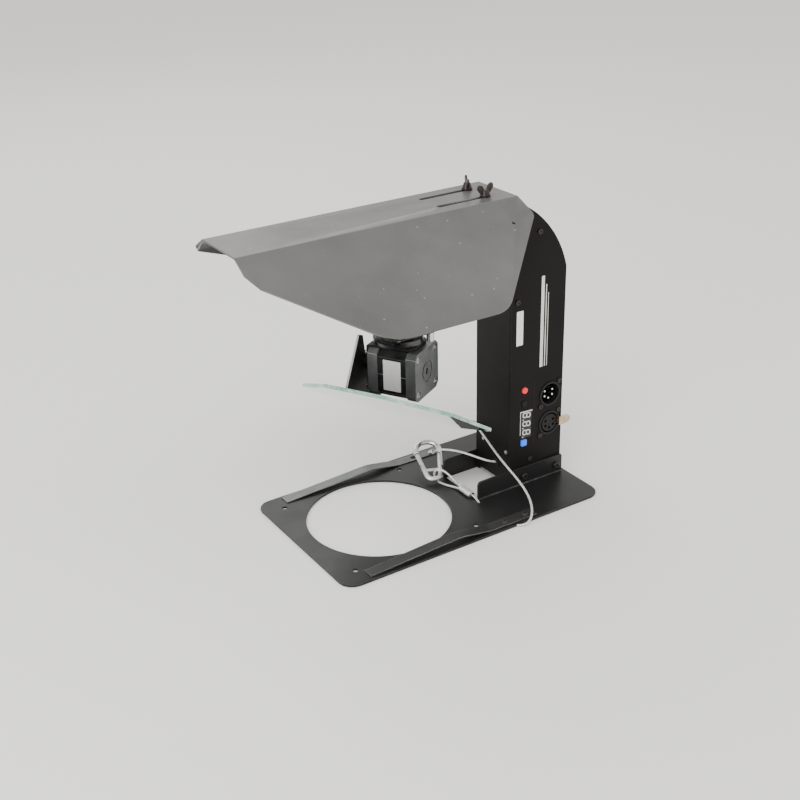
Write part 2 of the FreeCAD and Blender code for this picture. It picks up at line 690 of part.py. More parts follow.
def pan_hub():
    centre = (PAN_X, 0, HUB_LOW)
    disc = cyl(HUB_DISC_R, centre, (0, 0, 1), HUB_DISC_TOP - HUB_LOW)
    neck = cyl(8.0, centre, (0, 0, 1), HUB_TOP - HUB_LOW)
    sector = Part.makeCylinder(SECTOR_R, SECTOR_TOP - SECTOR_LOW, V(PAN_X, 0, SECTOR_LOW), UP,
                               2 * SECTOR_HALF)
    sector.rotate(V(PAN_X, 0, 0), UP, SECTOR_MIDDLE - SECTOR_HALF)
    tools = [cyl(SHAFT_R, (PAN_X, 0, HUB_LOW - 1), (0, 0, 1), 20)]
    hub = fuse([disc, neck, sector])
    for a, b in HUB_SCREWS:
        x, y = yoke_point(a, b)
        tools.append(cyl(1.5, (x, y, HUB_LOW - 1), (0, 0, 1), 5))
    return cut(hub, tools)


pan = pan_place()
caps = [placed(s, pan) for s in motor_caps(PAN_MOTOR_L)]
add("pan_motor_caps", *caps)
add("pan_motor_stator", placed(motor_stator(PAN_MOTOR_L), pan))
add("pan_motor_bearings", *[placed(s, pan) for s in motor_bearings(PAN_MOTOR_L)])
add("pan_motor_screws", *[placed(s, pan) for s in motor_screws(PAN_MOTOR_L)])
add("pan_rotor", placed(motor_rotor(PAN_MOTOR_L, PAN_MOTOR_L + PAN_FRONT_Z - HUB_LOW - 0.4), pan))
add("pan_cradle", pan_cradle())
add("cradle_screws", *cradle_screws())
add("pan_stop_post", pan_stop_post())
add("pan_hub", pan_hub())


# ---------------------------------------------------------------- yoke and tilt motor
YOKE_T = 2.0
YOKE_HALF = 19.0
YOKE_DROP = 116.0
TILT_FRONT = TILT_REAR + TILT_MOTOR_L


def tilt_motor_place():
    return yoke_place().multiply(FreeCAD.Placement(V(TILT_REAR, 0, TILT_Z), FreeCAD.Rotation()))


def yoke_bracket():
    """Folded sheet: a tongue under the pan hub and a plate on the tilt motor's face."""
    u1 = TILT_FRONT + YOKE_T
    tongue = slab([(-16, -15, 9), (u1, -YOKE_HALF, 0), (u1, YOKE_HALF, 0), (-16, 15, 9)],
                  flat(HUB_LOW - YOKE_T), UP * YOKE_T)
    plate = slab([(-YOKE_HALF, HUB_LOW, 0), (YOKE_HALF, HUB_LOW, 0), (YOKE_HALF, YOKE_DROP, 5),
                  (-YOKE_HALF, YOKE_DROP, 5)], end(TILT_FRONT), V(YOKE_T, 0, 0))
    bracket = fuse([tongue, plate])
    tools = [cyl(MOTOR_BOSS_R, (TILT_FRONT - 1, 0, TILT_Z), (1, 0, 0), 5)]
    for a, b in screw_places():
        tools.append(cyl(1.5, (TILT_FRONT - 1, a, TILT_Z + b), (1, 0, 0), 5))
    for a, b in HUB_SCREWS:
        tools.append(cyl(1.5, (a, b, HUB_LOW - 5), (0, 0, 1), 8))
        tools.append(cyl(2.8, (a, b, HUB_LOW - YOKE_T - 1), (0, 0, 1), 2.2))
    bracket = cut(bracket, tools)
    fold = [e for e in bracket.Edges
            if abs(e.BoundBox.XMin - u1) < 1e-6 and abs(e.BoundBox.XMax - u1) < 1e-6
            and abs(e.BoundBox.ZMin - HUB_LOW) < 1e-6 and e.BoundBox.YLength > 10]
    return bracket.makeFillet(1.9, fold)


def hub_screws():
    screws = []
    for a, b in HUB_SCREWS:
        head = cyl(2.8, (a, b, HUB_LOW - YOKE_T), (0, 0, 1), 1.2)
        screws.append(head.fuse(cyl(1.5, (a, b, HUB_LOW - YOKE_T), (0, 0, 1), 5.8)).removeSplitter())
    return screws


def yoke_screws():
    face = TILT_FRONT + YOKE_T
    return [cap_screw((face, a, TILT_Z + b), (1, 0, 0), 2.75, 1.6, 1.5, 5) for a, b in screw_places()]


def motor_label():
    """Plain paper label on the side of the tilt motor that faces away from the column."""
    side_s = (MOTOR - 0.7) / 2
    return box(-8.5, 7.5, side_s, side_s + 0.15, TILT_Z - 13.5, TILT_Z + 13.5)


yoke = yoke_place()
tilt_motor = tilt_motor_place()
add("yoke_bracket", placed(yoke_bracket(), yoke))
add("hub_screws", *[placed(s, yoke) for s in hub_screws()])
add("yoke_screws", *[placed(s, yoke) for s in yoke_screws()])
add("tilt_motor_caps", *[placed(s, tilt_motor) for s in motor_caps(TILT_MOTOR_L)])
add("tilt_motor_stator", placed(motor_stator(TILT_MOTOR_L), tilt_motor))
add("tilt_motor_bearings", *[placed(s, tilt_motor) for s in motor_bearings(TILT_MOTOR_L)])
add("tilt_motor_screws", *[placed(s, tilt_motor) for s in motor_screws(TILT_MOTOR_L)])
add("tilt_motor_label", placed(motor_label(), yoke))


# ---------------------------------------------------------------- mirror
# Mirror parts are drawn in the mirror's own frame: x along the tilt shaft, y up the slope
# of the glass, z square to its back, with the origin on the tilt axis.
BRACKET_U = 31.5
BRACKET_T = 2.0
BRACKET_FOOT_L = 26.0
BRACKET_FOOT_HALF = 31.0
PAD_T = 0.8
COLLAR_R = 7.5
SHAFT_REACH = 37.0


def mirror_bracket():
    """Upright cheek on the tilt shaft, with a foot along the back of the glass."""
    foot_low = MIRROR_BACK + PAD_T
    outline = [(-BRACKET_FOOT_HALF, foot_low, 0), (BRACKET_FOOT_HALF, foot_low, 0), (32, 16, 1),
               (25.5, 17, 1), (11, 1, 6), (7, 10, 4), (-7, 10, 4), (-BRACKET_FOOT_HALF, -19, 4)]
    cheek = slab(outline, end(BRACKET_U), V(BRACKET_T, 0, 0))
    foot = slab([(BRACKET_U, -BRACKET_FOOT_HALF, 0), (BRACKET_U + BRACKET_FOOT_L, -BRACKET_FOOT_HALF, 4),
                 (BRACKET_U + BRACKET_FOOT_L, BRACKET_FOOT_HALF, 4), (BRACKET_U, BRACKET_FOOT_HALF, 0)],
                flat(foot_low), UP * 1.5)
    collar = cyl(COLLAR_R, (BRACKET_U - 3.2, 0, 0), (1, 0, 0), 3.2 + BRACKET_T + 1.5)
    bracket = fuse([cheek, foot, collar])
    bore = cyl(SHAFT_R, (BRACKET_U - 6, 0, 0), (1, 0, 0), 20)
    screw_hole = cyl(1.0, (BRACKET_U - 1.6, 0, 0), (0, 0, 1), 12)
    return cut(bracket, [bore, screw_hole])


def mirror_glass():
    u, b, clip = MIRROR_HALF_U, MIRROR_HALF_B, MIRROR_CLIP
    corners = [(u, b - clip, 1), (u - clip, b, 1), (-u + clip, b, 1), (-u, b - clip, 1),
               (-u, -b + clip, 1), (-u + clip, -b, 1), (u - clip, -b, 1), (u, -b + clip, 1)]
    glass = slab(corners, flat(MIRROR_BACK - MIRROR_T), UP * MIRROR_T)
    glass.translate(V(0, MIRROR_SHIFT, 0))
    return glass


def collar_screw():
    return cyl(1.0, (BRACKET_U - 1.6, 0, SHAFT_R - SHAFT_FLAT), (0, 0, 1), COLLAR_R - SHAFT_R)


mirror = mirror_place()
shaft_place = mirror.multiply(FreeCAD.Placement(V(TILT_REAR, 0, 0), FreeCAD.Rotation()))
add("tilt_rotor", placed(motor_rotor(TILT_MOTOR_L, SHAFT_REACH - TILT_REAR), shaft_place))
add("mirror_bracket", placed(mirror_bracket(), mirror))
add("collar_screw", placed(collar_screw(), mirror))
add("mirror_pad", placed(box(BRACKET_U + 2, BRACKET_U + BRACKET_FOOT_L - 3, -28, 28,
                             MIRROR_BACK, MIRROR_BACK + PAD_T), mirror))
add("mirror_glass", placed(mirror_glass(), mirror))


# ---------------------------------------------------------------- hood
SLOT_FRONT, SLOT_REAR = 55.7, 105.2
WASHER_R, WASHER_T = 4.5, 1.0
WASHER_GAP = 0.25
HOOD_HOLE = (104.5, 25.0)        # along X, and down the near panel from the fold
HOOD_HOLE_R = 1.6


def panel_axes(way):
    """Fold point of a sloping panel, its downhill direction and its inward normal."""
    slope = math.radians(HOOD_SLOPE)
    down = V(0, way * math.cos(slope), -math.sin(slope))
    inward = V(0, -way * math.sin(slope), -math.cos(slope))
    return V(0, way * HOOD_HALF, HOOD_TOP), down, inward


def hood_side(way):
    """One sloping panel; its outline is drawn along X and down the slope from the fold."""
    fold, down, inward = panel_axes(way)
    outline = [(-127.5, 0, 0), (-127.5, 17, 3), (-121.0, 31.7, 6), (-49.4, 101.4, 46),
               (52, 101.4, 26), (127.8, 21.5, 9), (124.6, 0, 0)]

    def put(x, s):
        return fold + V(x, 0, 0) + down * s

    return slab(outline, put, inward * HOOD_T)


def hood():
    top = box(-127.5, 124.6, -HOOD_HALF, HOOD_HALF, HOOD_TOP - HOOD_T, HOOD_TOP)
    sheet = fuse([top, hood_side(-1), hood_side(1)])
    tools = []
    for way in (-1, 1):
        y = way * SLOT_Y
        slot = slab([(SLOT_FRONT, y - SLOT_R, SLOT_R * 0.999), (SLOT_REAR, y - SLOT_R, SLOT_R * 0.999),
                     (SLOT_REAR, y + SLOT_R, SLOT_R * 0.999), (SLOT_FRONT, y + SLOT_R, SLOT_R * 0.999)],
                    flat(HOOD_TOP - 5), UP * 10)
        tools.append(slot)
    fold, down, inward = panel_axes(-1)
    hole = fold + V(HOOD_HOLE[0], 0, 0) + down * HOOD_HOLE[1] - inward * 2
    tools.append(Part.makeCylinder(HOOD_HOLE_R, 6, hole, inward))
    return cut(sheet, tools)


def hood_washer(y):
    return ring(WASHER_R, WING_R + RUNNING_GAP, (WING_X, y, HOOD_TOP + WASHER_GAP), (0, 0, 1), WASHER_T)


def weld_nut(y):
    nut = Part.makeCylinder(3.6, 3.0, V(WING_X, y, ARM_TOP - SHEET - 3.0))
    return nut.cut(cyl(WING_R + RUNNING_GAP, (WING_X, y, ARM_TOP - 10), (0, 0, 1), 20))


def wing_screw(y, turn):
    """Threaded stud, a tapered boss and two rounded wings."""
    seat = HOOD_TOP + WASHER_GAP + WASHER_T + 0.1
    stud = cyl(WING_R, (WING_X, y, ARM_TOP - 9), (0, 0, 1), seat - ARM_TOP + 10)
    boss = Part.makeCone(4.0, 2.8, 4.6, V(WING_X, y, seat))
    wings = []
    for way in (-1, 1):
        outline = [(WING_X + way * 1.5, seat + 0.8, 0), (WING_X + way * 4.8, seat + 1.2, 1.4),
                   (WING_X + way * 9.0, seat + 5.8, 2.6), (WING_X + way * 7.6, seat + 9.8, 2.0),
                   (WING_X + way * 3.8, seat + 8.2, 1.8), (WING_X + way * 1.5, seat + 3.8, 0)]
        wings.append(slab(outline, side(y - 0.9), V(0, 1.8, 0)))
    screw = fuse([stud, boss] + wings)
    screw.rotate(V(WING_X, y, 0), UP, turn)
    return screw


add("hood", hood())
add("hood_washers", *[hood_washer(way * SLOT_Y) for way in (-1, 1)])
add("weld_nuts", *[weld_nut(way * SLOT_Y) for way in (-1, 1)])
add("wing_screw_near", wing_screw(-SLOT_Y, 10))
add("wing_screw_far", wing_screw(SLOT_Y, 62))


# ---------------------------------------------------------------- safety cable
def cord(name, points):
    """Tube of straight runs joined by tangent arcs; prints its tightest radius."""
    tips = [V(*p) for p in points]
    edges = []
    radii = []
    start = tips[0]
    for before, tip, after in zip(tips, tips[1:], tips[2:]):
        back, ahead = tip - before, after - tip
        run = min(back.Length, ahead.Length)
        back.normalize()
        ahead.normalize()
        half = back.getAngle(ahead) / 2
        reach = 0.45 * run
        radius = reach / math.tan(half)
        first, last = tip - back * reach, tip + ahead * reach
        bisector = (ahead - back).normalize()
        middle = tip + bisector * (radius / math.cos(half) - radius)
        edges.append(Part.LineSegment(start, first).toShape())
        edges.append(Part.Arc(first, middle, last).toShape())
        radii.append(radius)
        start = last
    edges.append(Part.LineSegment(start, tips[-1]).toShape())
    path = Part.Wire(edges)
    section = Part.Wire(Part.makeCircle(CABLE_D / 2, tips[0], tips[1] - tips[0]))
    tube = path.makePipeShell([section], True, True)
    ideal = math.pi * (CABLE_D / 2) ** 2 * path.Length
    print(name, "length %.1f" % path.Length, "volume ratio %.4f" % (tube.Volume / ideal),
          "radii", [round(r, 1) for r in radii])
    add(name, tube)
    return tube


# The arc: from the near edge of the plate, up over the near flange, past the front of the
# column and down behind it to a bush in the plate.
ARC_ROUTE = [(89.0, -79.4, 1.25), (94.0, -83.6, 1.5), (100.5, -83.4, 4.6), (106.5, -78.0, 9.2),
             (110.8, -69.6, 13.8), (113.2, -59.0, 18.6), (113.6, -46.5, 24.2), (112.8, -33.0, 30.0),
             (113.2, -19.0, 35.2), (114.8, -5.0, 40.0), (116.6, 9.0, 44.8), (118.4, 20.5, 48.4),
             (121.2, 31.2, 49.0), (128.2, 40.0, 45.2), (137.6, 45.6, 36.6), (146.6, 48.2, 25.6),
             (153.2, 48.2, 13.8), (155.8, 47.2, 1.0)]
# The lead: from the bush in the column's front wall into the snap hook's opening.
LEAD_ROUTE = [(123.0, -6.0, 19.5), (117.4, -3.4, 20.4), (112.0, 3.4, 22.0), (106.0, 13.6, 23.6),
              (100.0, 25.2, 24.2), (92.6, 36.6, 23.0), (88.0, 42.0, 20.5), (87.6, 49.4, 15.2)]
# The eye: from the slot in the plate through the ferrule, round the snap hook's lower bow
# and back into the ferrule.
EYE_ROUTE = [(85.1, -30.2, 1.05), (85.2, -25.6, 3.3), (85.2, -19.6, 4.25), (85.2, -2.4, 4.3),
             (84.6, 6.6, 7.0), (82.6, 13.2, 10.8), (79.4, 18.6, 14.0), (75.8, 22.8, 13.4),
             (74.2, 24.2, 9.2), (74.4, 22.4, 4.9), (75.0, 17.6, 3.3), (76.6, 11.0, 3.25),
             (79.6, 4.0, 3.4), (82.3, -2.6, 4.0), (82.6, -16.0, 4.25)]


def far_bush():
    """Grommet in the plate where the arc ends."""
    sleeve = ring(ANCHOR_HOLE_R, CABLE_D / 2 + 0.3, (*ANCHOR_FAR, 0), (0, 0, 1), PLATE_T)
    rim = ring(ANCHOR_HOLE_R + 1.4, CABLE_D / 2 + 0.9, (*ANCHOR_FAR, PLATE_T), (0, 0, 1), 1)
    return fuse([sleeve, rim])


add("far_bush", far_bush())
cord("cable_arc", ARC_ROUTE)
lead = cord("cable_lead", LEAD_ROUTE)
eye = cord("cable_eye", EYE_ROUTE)

FERRULE_X, FERRULE_Z = 83.9, 4.3
FERRULE_Y = (-20.5, -4.0)
FERRULE_HALF = (3.5, 2.1)
STOP_SLEEVE_R, STOP_SLEEVE_L = 2.4, 6.5


def ferrule():
    """Oval crimped sleeve on the two strands of the eye."""
    w, h = FERRULE_HALF
    x, z = FERRULE_X, FERRULE_Z
    r = 0.98 * h
    sleeve = slab([(x - w, z - h, r), (x + w, z - h, r), (x + w, z + h, r), (x - w, z + h, r)],
                  side(FERRULE_Y[0]), V(0, FERRULE_Y[1] - FERRULE_Y[0], 0))
    return sleeve.cut(eye)


def stop_sleeve():
    """Round crimped stop on the end of the lead."""
    tip, before = V(*LEAD_ROUTE[-1]), V(*LEAD_ROUTE[-2])
    way = (tip - before).normalize()
    sleeve = Part.makeCylinder(STOP_SLEEVE_R, STOP_SLEEVE_L, tip - way * (STOP_SLEEVE_L - 0.8), way)
    sleeve = sleeve.makeFillet(0.6, [sleeve.Edges[0], sleeve.Edges[2]])
    return sleeve.cut(lead)


add("cable_ferrule", ferrule())
add("cable_stop", stop_sleeve())


# ---------------------------------------------------------------- snap hook
# Drawn flat: x across, y from the lower bow to the upper one, z square to its plane.
HOOK_AT = V(71.3, 18.6, 7.0)     # middle of the wire at the lower bow
HOOK_HEADING = 67.4              # direction in plan of the upper bow, degrees
HOOK_LEAN = 20.9                 # rise of the upper bow, degrees
HOOK_WIRE_R = 2.4
HOOK_LENGTH = 45.2
HOOK_LOW_R, HOOK_HIGH_R = 6.6, 11.0
GATE_LOW, GATE_HIGH = 0.28, 0.93          # ends of the gate along the left side
GATE_GAP = 0.5
GATE_R = 2.1
GATE_TONGUE = 0.8
PIN_R = 0.8
BRIDGE_R, BRIDGE_Y = 1.7, 10.6    # bar that closes the small eye


def hook_place():
    turn = FreeCAD.Rotation(UP, HOOK_HEADING - 90).multiply(FreeCAD.Rotation(V(1, 0, 0), HOOK_LEAN))
    return FreeCAD.Placement(HOOK_AT, turn)


def hook_points():
    low, high = V(0, HOOK_LOW_R, 0), V(0, HOOK_LENGTH - HOOK_HIGH_R, 0)
    lean = (HOOK_HIGH_R - HOOK_LOW_R) / (high - low).Length
    left = V(-math.sqrt(1 - lean ** 2), -lean, 0)
    right = V(-left.x, left.y, 0)
    return (low + left * HOOK_LOW_R, high + left * HOOK_HIGH_R, high + right * HOOK_HIGH_R,
            low + right * HOOK_LOW_R)


def gate_line():
    low, high, _, _ = hook_points()
    return low + (high - low) * GATE_LOW, low + (high - low) * GATE_HIGH


def hook_body():
    left_low, left_high, right_high, right_low = hook_points()
    gate_low, gate_high = gate_line()
    edges = [Part.LineSegment(gate_high, left_high).toShape(),
             Part.Arc(left_high, V(0, HOOK_LENGTH, 0), right_high).toShape(),
             Part.LineSegment(right_high, right_low).toShape(),
             Part.Arc(right_low, V(0, 0, 0), left_low).toShape(),
             Part.LineSegment(left_low, gate_low).toShape()]
    path = Part.Wire(edges)
    section = Part.Wire(Part.makeCircle(HOOK_WIRE_R, gate_high, left_high - gate_high))
    body = path.makePipeShell([section], True, True)
    way = (gate_high - gate_low).normalize()
    tongue = Part.makeCylinder(1.5, 2 * GATE_TONGUE, gate_low + way * 2.6 - V(0, 0, GATE_TONGUE), UP)
    neck = Part.makeBox(3.0, 3.6, 2 * GATE_TONGUE, V(-1.5, -1.0, -GATE_TONGUE))
    neck.Placement = FreeCAD.Placement(gate_low, FreeCAD.Rotation(V(0, 1, 0), way))
    bridge = Part.makeCylinder(BRIDGE_R, 2 * HOOK_LOW_R, V(-HOOK_LOW_R, BRIDGE_Y, 0), V(1, 0, 0))
    return body.fuse([tongue, neck, bridge]).cut(gate_pin_tool(PIN_R)).removeSplitter()


def gate_pin_tool(radius):
    gate_low, gate_high = gate_line()
    way = (gate_high - gate_low).normalize()
    return Part.makeCylinder(radius, 2 * GATE_R + 0.2, gate_low + way * 2.6 - V(0, 0, GATE_R + 0.1), UP)


def hook_gate():
    gate_low, gate_high = gate_line()
    way = (gate_high - gate_low).normalize()
    length = (gate_high - gate_low).Length
    bar = Part.makeCylinder(GATE_R, length - 2 * GATE_GAP, gate_low + way * GATE_GAP, way)
    slot = Part.makeBox(8, 5.6, 2 * (GATE_TONGUE + 0.35), V(-4, -1, -GATE_TONGUE - 0.35))
    slot.Placement = FreeCAD.Placement(gate_low, FreeCAD.Rotation(V(0, 1, 0), way))
    return cut(bar, [slot, gate_pin_tool(PIN_R + RUNNING_GAP)])


hook = hook_place()
add("hook_body", placed(hook_body(), hook))
add("hook_gate", placed(hook_gate(), hook))
add("hook_pin", placed(gate_pin_tool(PIN_R), hook))
pin_low, pin_high = gate_line()
pin_at = hook.multVec(pin_low + (pin_high - pin_low).normalize() * 2.6)
print("gate pin", [round(c, 2) for c in pin_at], "axis", [round(c, 4) for c in hook.Rotation.multVec(UP)])

os.makedirs("parts", exist_ok=True)
for name, shape in parts.items():
    if not shape.isValid():
        print("INVALID", name)
    shape.exportStep("parts/%s.step" % name)
print(len(parts), "nodes")
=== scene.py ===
import json
import math

import bmesh
import bpy
from mathutils import Matrix, Vector

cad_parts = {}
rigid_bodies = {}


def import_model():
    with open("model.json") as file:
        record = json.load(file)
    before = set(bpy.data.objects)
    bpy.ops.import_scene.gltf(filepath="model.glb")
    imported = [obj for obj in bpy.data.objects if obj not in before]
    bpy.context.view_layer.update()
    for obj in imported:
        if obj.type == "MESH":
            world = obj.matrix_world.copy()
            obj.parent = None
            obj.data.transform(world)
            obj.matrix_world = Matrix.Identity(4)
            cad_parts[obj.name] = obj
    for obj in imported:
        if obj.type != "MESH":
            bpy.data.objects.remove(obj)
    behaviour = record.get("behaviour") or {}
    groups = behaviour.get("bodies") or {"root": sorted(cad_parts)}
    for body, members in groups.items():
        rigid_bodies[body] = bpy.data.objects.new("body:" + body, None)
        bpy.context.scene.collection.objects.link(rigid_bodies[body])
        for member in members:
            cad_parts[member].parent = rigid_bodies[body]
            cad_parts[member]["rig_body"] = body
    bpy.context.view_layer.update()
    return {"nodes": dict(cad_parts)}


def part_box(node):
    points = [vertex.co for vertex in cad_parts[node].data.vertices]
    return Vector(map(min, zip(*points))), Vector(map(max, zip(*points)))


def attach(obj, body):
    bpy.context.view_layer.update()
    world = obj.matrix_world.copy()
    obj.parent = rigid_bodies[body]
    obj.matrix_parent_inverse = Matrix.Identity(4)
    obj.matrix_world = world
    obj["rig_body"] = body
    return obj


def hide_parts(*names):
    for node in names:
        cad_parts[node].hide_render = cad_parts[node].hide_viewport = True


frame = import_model()

# ---------------------------------------------------------------- measures
MM = 0.001
PAN_X = 30 * MM
TILT_Z = 135.8 * MM
YOKE_TURN = math.radians(120)
TILT_REST = math.radians(32.4)
CABLE_D = 2.0 * MM

# The yoke's frame: x along the tilt shaft, z up.  The mirror's frame: y up the slope.
YOKE = Matrix.Translation((PAN_X, 0, TILT_Z)) @ Matrix.Rotation(YOKE_TURN, 4, "Z")
MIRROR = YOKE @ Matrix.Rotation(TILT_REST, 4, "X")
UP = Vector((0, 0, 1))


# ---------------------------------------------------------------- camera
# Azimuth is the camera's side of the object, from -Y towards +X; roll is about the line of sight.
CAMERA_AT = Vector((-0.47351, -0.7870, 0.55625))
CAMERA_AZIMUTH = math.radians(-32.33)
CAMERA_ELEVATION = math.radians(25.76)
CAMERA_ROLL = math.radians(-1.48)
CAMERA_LENS = 55.51


def make_camera():
    """Camera from its place, azimuth, elevation and roll."""
    data = bpy.data.cameras.new("camera")
    data.lens = CAMERA_LENS
    data.sensor_width = 36
    data.clip_start = 0.05
    data.clip_end = 20
    camera = bpy.data.objects.new("camera", data)
    bpy.context.scene.collection.objects.link(camera)
    a, e, roll = CAMERA_AZIMUTH, CAMERA_ELEVATION, CAMERA_ROLL
    back = Vector((math.sin(a) * math.cos(e), -math.cos(a) * math.cos(e), math.sin(e)))
    right = UP.cross(back).normalized()
    up = back.cross(right)
    turned_right = right * math.cos(roll) + up * math.sin(roll)
    turned_up = up * math.cos(roll) - right * math.sin(roll)
    turn = Matrix((turned_right, turned_up, back)).transposed().to_4x4()
    camera.matrix_world = Matrix.Translation(CAMERA_AT) @ turn
    bpy.context.scene.camera = camera


make_camera()


# ---------------------------------------------------------------- materials
class Shader:
    """A procedural material. Each method adds nodes and returns the output they end in."""

    def __init__(self, name, color, metallic=0.0, roughness=0.5, **sockets):
        self.material = bpy.data.materials.new(name)
        self.material.use_nodes = True
        self.nodes = self.material.node_tree.nodes
        self.links = self.material.node_tree.links
        self.surface = self.nodes["Principled BSDF"]
        self.surface.inputs["Base Color"].default_value = (*color, 1)
        self.surface.inputs["Metallic"].default_value = metallic
        self.surface.inputs["Roughness"].default_value = roughness
        for key, value in sockets.items():
            self.surface.inputs[key.replace("_", " ")].default_value = value
        self.place = self.nodes.new("ShaderNodeTexCoord").outputs["Object"]

    def add(self, kind, values=None, **settings):
        node = self.nodes.new(kind)
        for key, value in settings.items():
            setattr(node, key, value)
        for key, value in (values or {}).items():
            if hasattr(value, "is_output"):
                self.links.new(value, node.inputs[key])
            else:
                node.inputs[key].default_value = value
        return node

    def placed(self, stretch):
        """Object coordinates, stretched along the axes."""
        if stretch == (1, 1, 1):
            return self.place
        return self.add("ShaderNodeMapping", {"Vector": self.place, "Scale": stretch}).outputs[0]

    def noise(self, scale, detail, stretch=(1, 1, 1)):
        values = {"Vector": self.placed(stretch), "Scale": scale, "Detail": detail,
                  "Roughness": 0.55}
        return self.add("ShaderNodeTexNoise", values).outputs["Fac"]

    def cells(self, scale, stretch=(1, 1, 1), feature="F1"):
        values = {"Vector": self.placed(stretch), "Scale": scale}
        return self.add("ShaderNodeTexVoronoi", values, feature=feature)

    def ramp(self, value, *stops):
        """Colour ramp through (position, grey or colour) stops."""
        node = self.add("ShaderNodeValToRGB", {"Fac": value})
        elements = node.color_ramp.elements
        while len(elements) < len(stops):
            elements.new(0.5)
        for element, (position, color) in zip(elements, stops):
            element.position = position
            color = (color,) * 3 if isinstance(color, (int, float)) else color
            element.color = (*color, 1)
        return node.outputs["Color"]

    def mix(self, factor, a, b, blend="MIX"):
        """Colour a turning into colour b with the factor."""
        node = self.add("ShaderNodeMix", data_type="RGBA", blend_type=blend)
        for index, value in ((0, factor), (6, a), (7, b)):
            if hasattr(value, "is_output"):
                self.links.new(value, node.inputs[index])
            elif index:
                node.inputs[index].default_value = (*value, 1)
            else:
                node.inputs[index].default_value = value
        return node.outputs[2]

    def math(self, operation, a, b=0.0):
        node = self.add("ShaderNodeMath", {0: a, 1: b}, operation=operation)
        return node.outputs[0]

    def edges(self, radius):
        """1 along the convex edges and in the corners, 0 on flat faces."""
        rounded = self.add("ShaderNodeBevel", {"Radius": radius}, samples=4).outputs[0]
        flat = self.add("ShaderNodeNewGeometry").outputs["Normal"]
        dot = self.add("ShaderNodeVectorMath", {0: rounded, 1: flat}, operation="DOT_PRODUCT")
        lost = self.math("SUBTRACT", 1.0, dot.outputs["Value"])
        return self.ramp(lost, (0.02, 0.0), (0.12, 1.0))

    def specks(self, scale, size, share):
        """Sparse round specks, such as dust or chips: 1 in a speck."""
        cell = self.cells(scale)
        spot = self.ramp(cell.outputs["Distance"], (size * 0.6, 1.0), (size, 0.0))
        chosen = self.ramp(cell.outputs["Color"], (1 - share - 0.01, 0.0), (1 - share, 1.0))
        return self.mix(1.0, spot, chosen, "MULTIPLY")

    def color(self, value):
        self.links.new(value, self.surface.inputs["Base Color"])

    def rough(self, value, low, high):
        """Roughness from low to high along the value."""
        span = self.ramp(value, (0.25, low), (0.75, high))
        self.links.new(span, self.surface.inputs["Roughness"])

    def bump(self, height, distance, strength):
        """Relief on top of any relief set before."""
        old = self.surface.inputs["Normal"].links
        values = {"Height": height, "Distance": distance, "Strength": strength}
        if old:
            values["Normal"] = old[0].from_socket
        node = self.add("ShaderNodeBump", values)
        self.links.new(node.outputs[0], self.surface.inputs["Normal"])


def satin_paint(name, tone, roughness=(0.34, 0.46), dust=0.10, edge=0.35, specular=0.5, speck=0.10):
    """Baked black paint on sheet metal: fine orange peel, faint clouds, dust, and lighter edges that
    are partly rubbed paint and partly a painted highlight.
    dust is the share of specks that show, speck their size and edge the strength of the lighter edges."""
    dark = [c * 0.82 for c in tone]
    light = [c * 1.22 for c in tone]
    shader = Shader(name, tone, Specular_IOR_Level=specular)
    clouds = shader.noise(14, 5)
    base = shader.mix(shader.ramp(clouds, (0.3, 0.0), (0.7, 1.0)), dark, light)
    specks = shader.specks(150, speck, dust)
    base = shader.mix(shader.math("MULTIPLY", specks, 0.5), base, (0.34, 0.33, 0.31))
    fine = shader.specks(420, speck * 1.2, dust * 0.8)
    base = shader.mix(shader.math("MULTIPLY", fine, 0.45), base, (0.28, 0.27, 0.25))
    # Lighter edges, broken up by noise: partly rubbed paint, partly a painted highlight on the rounded
    # edges.
    broken = shader.ramp(shader.noise(260, 4), (0.42, 0.0), (0.62, 1.0))
    rim = shader.mix(1.0, shader.edges(0.35 * MM), broken, "MULTIPLY")
    shader.color(shader.mix(shader.math("MULTIPLY", rim, edge), base, (0.30, 0.29, 0.27)))
    shader.rough(shader.noise(40, 4), *roughness)
    shader.bump(shader.noise(1500, 2), 0.00003, 0.5)
    return shader.material


def scratched_steel(name, tone, metallic=0.75, roughness=(0.30, 0.46)):
    """Bare or blackened strip steel with lines drawn along X, stains and a painted highlight along its
    edges.
    """
    shader = Shader(name, tone, metallic)
    streaks = shader.noise(60, 6, (1, 12, 12))
    dark, light = [c * 0.7 for c in tone], [min(1.0, c * 1.25) for c in tone]
    base = shader.mix(shader.ramp(streaks, (0.35, 0.0), (0.65, 1.0)), dark, light)
    stains = shader.ramp(shader.noise(35, 5), (0.55, 0.0), (0.72, 0.5))
    base = shader.mix(stains, base, [c * 0.55 for c in tone])
    # Painted highlight: the edges are lightened as if their rounding caught the light.
    shader.color(shader.mix(shader.edges(0.3 * MM), base, (0.72, 0.72, 0.69)))
    shader.rough(streaks, *roughness)
    shader.bump(streaks, 0.00002, 0.4)
    return shader.material


def zinc(name, tone=(0.72, 0.72, 0.70), roughness=(0.20, 0.36), metallic=0.95):
    """Zinc plating or a dark finish on steel: slight mottling, fine pits and dull patches."""
    shader = Shader(name, tone, metallic)
    mottle = shader.noise(180, 5)
    dark = [c * 0.78 for c in tone]
    base = shader.mix(shader.ramp(mottle, (0.35, 0.0), (0.65, 1.0)), dark, tone)
    pits = shader.specks(700, 0.22, 0.25)
    shader.color(shader.mix(shader.math("MULTIPLY", pits, 0.5), base, [c * 0.4 for c in tone]))
    shader.rough(shader.noise(90, 4), *roughness)
    shader.bump(mottle, 0.00003, 0.5)
    return shader.material


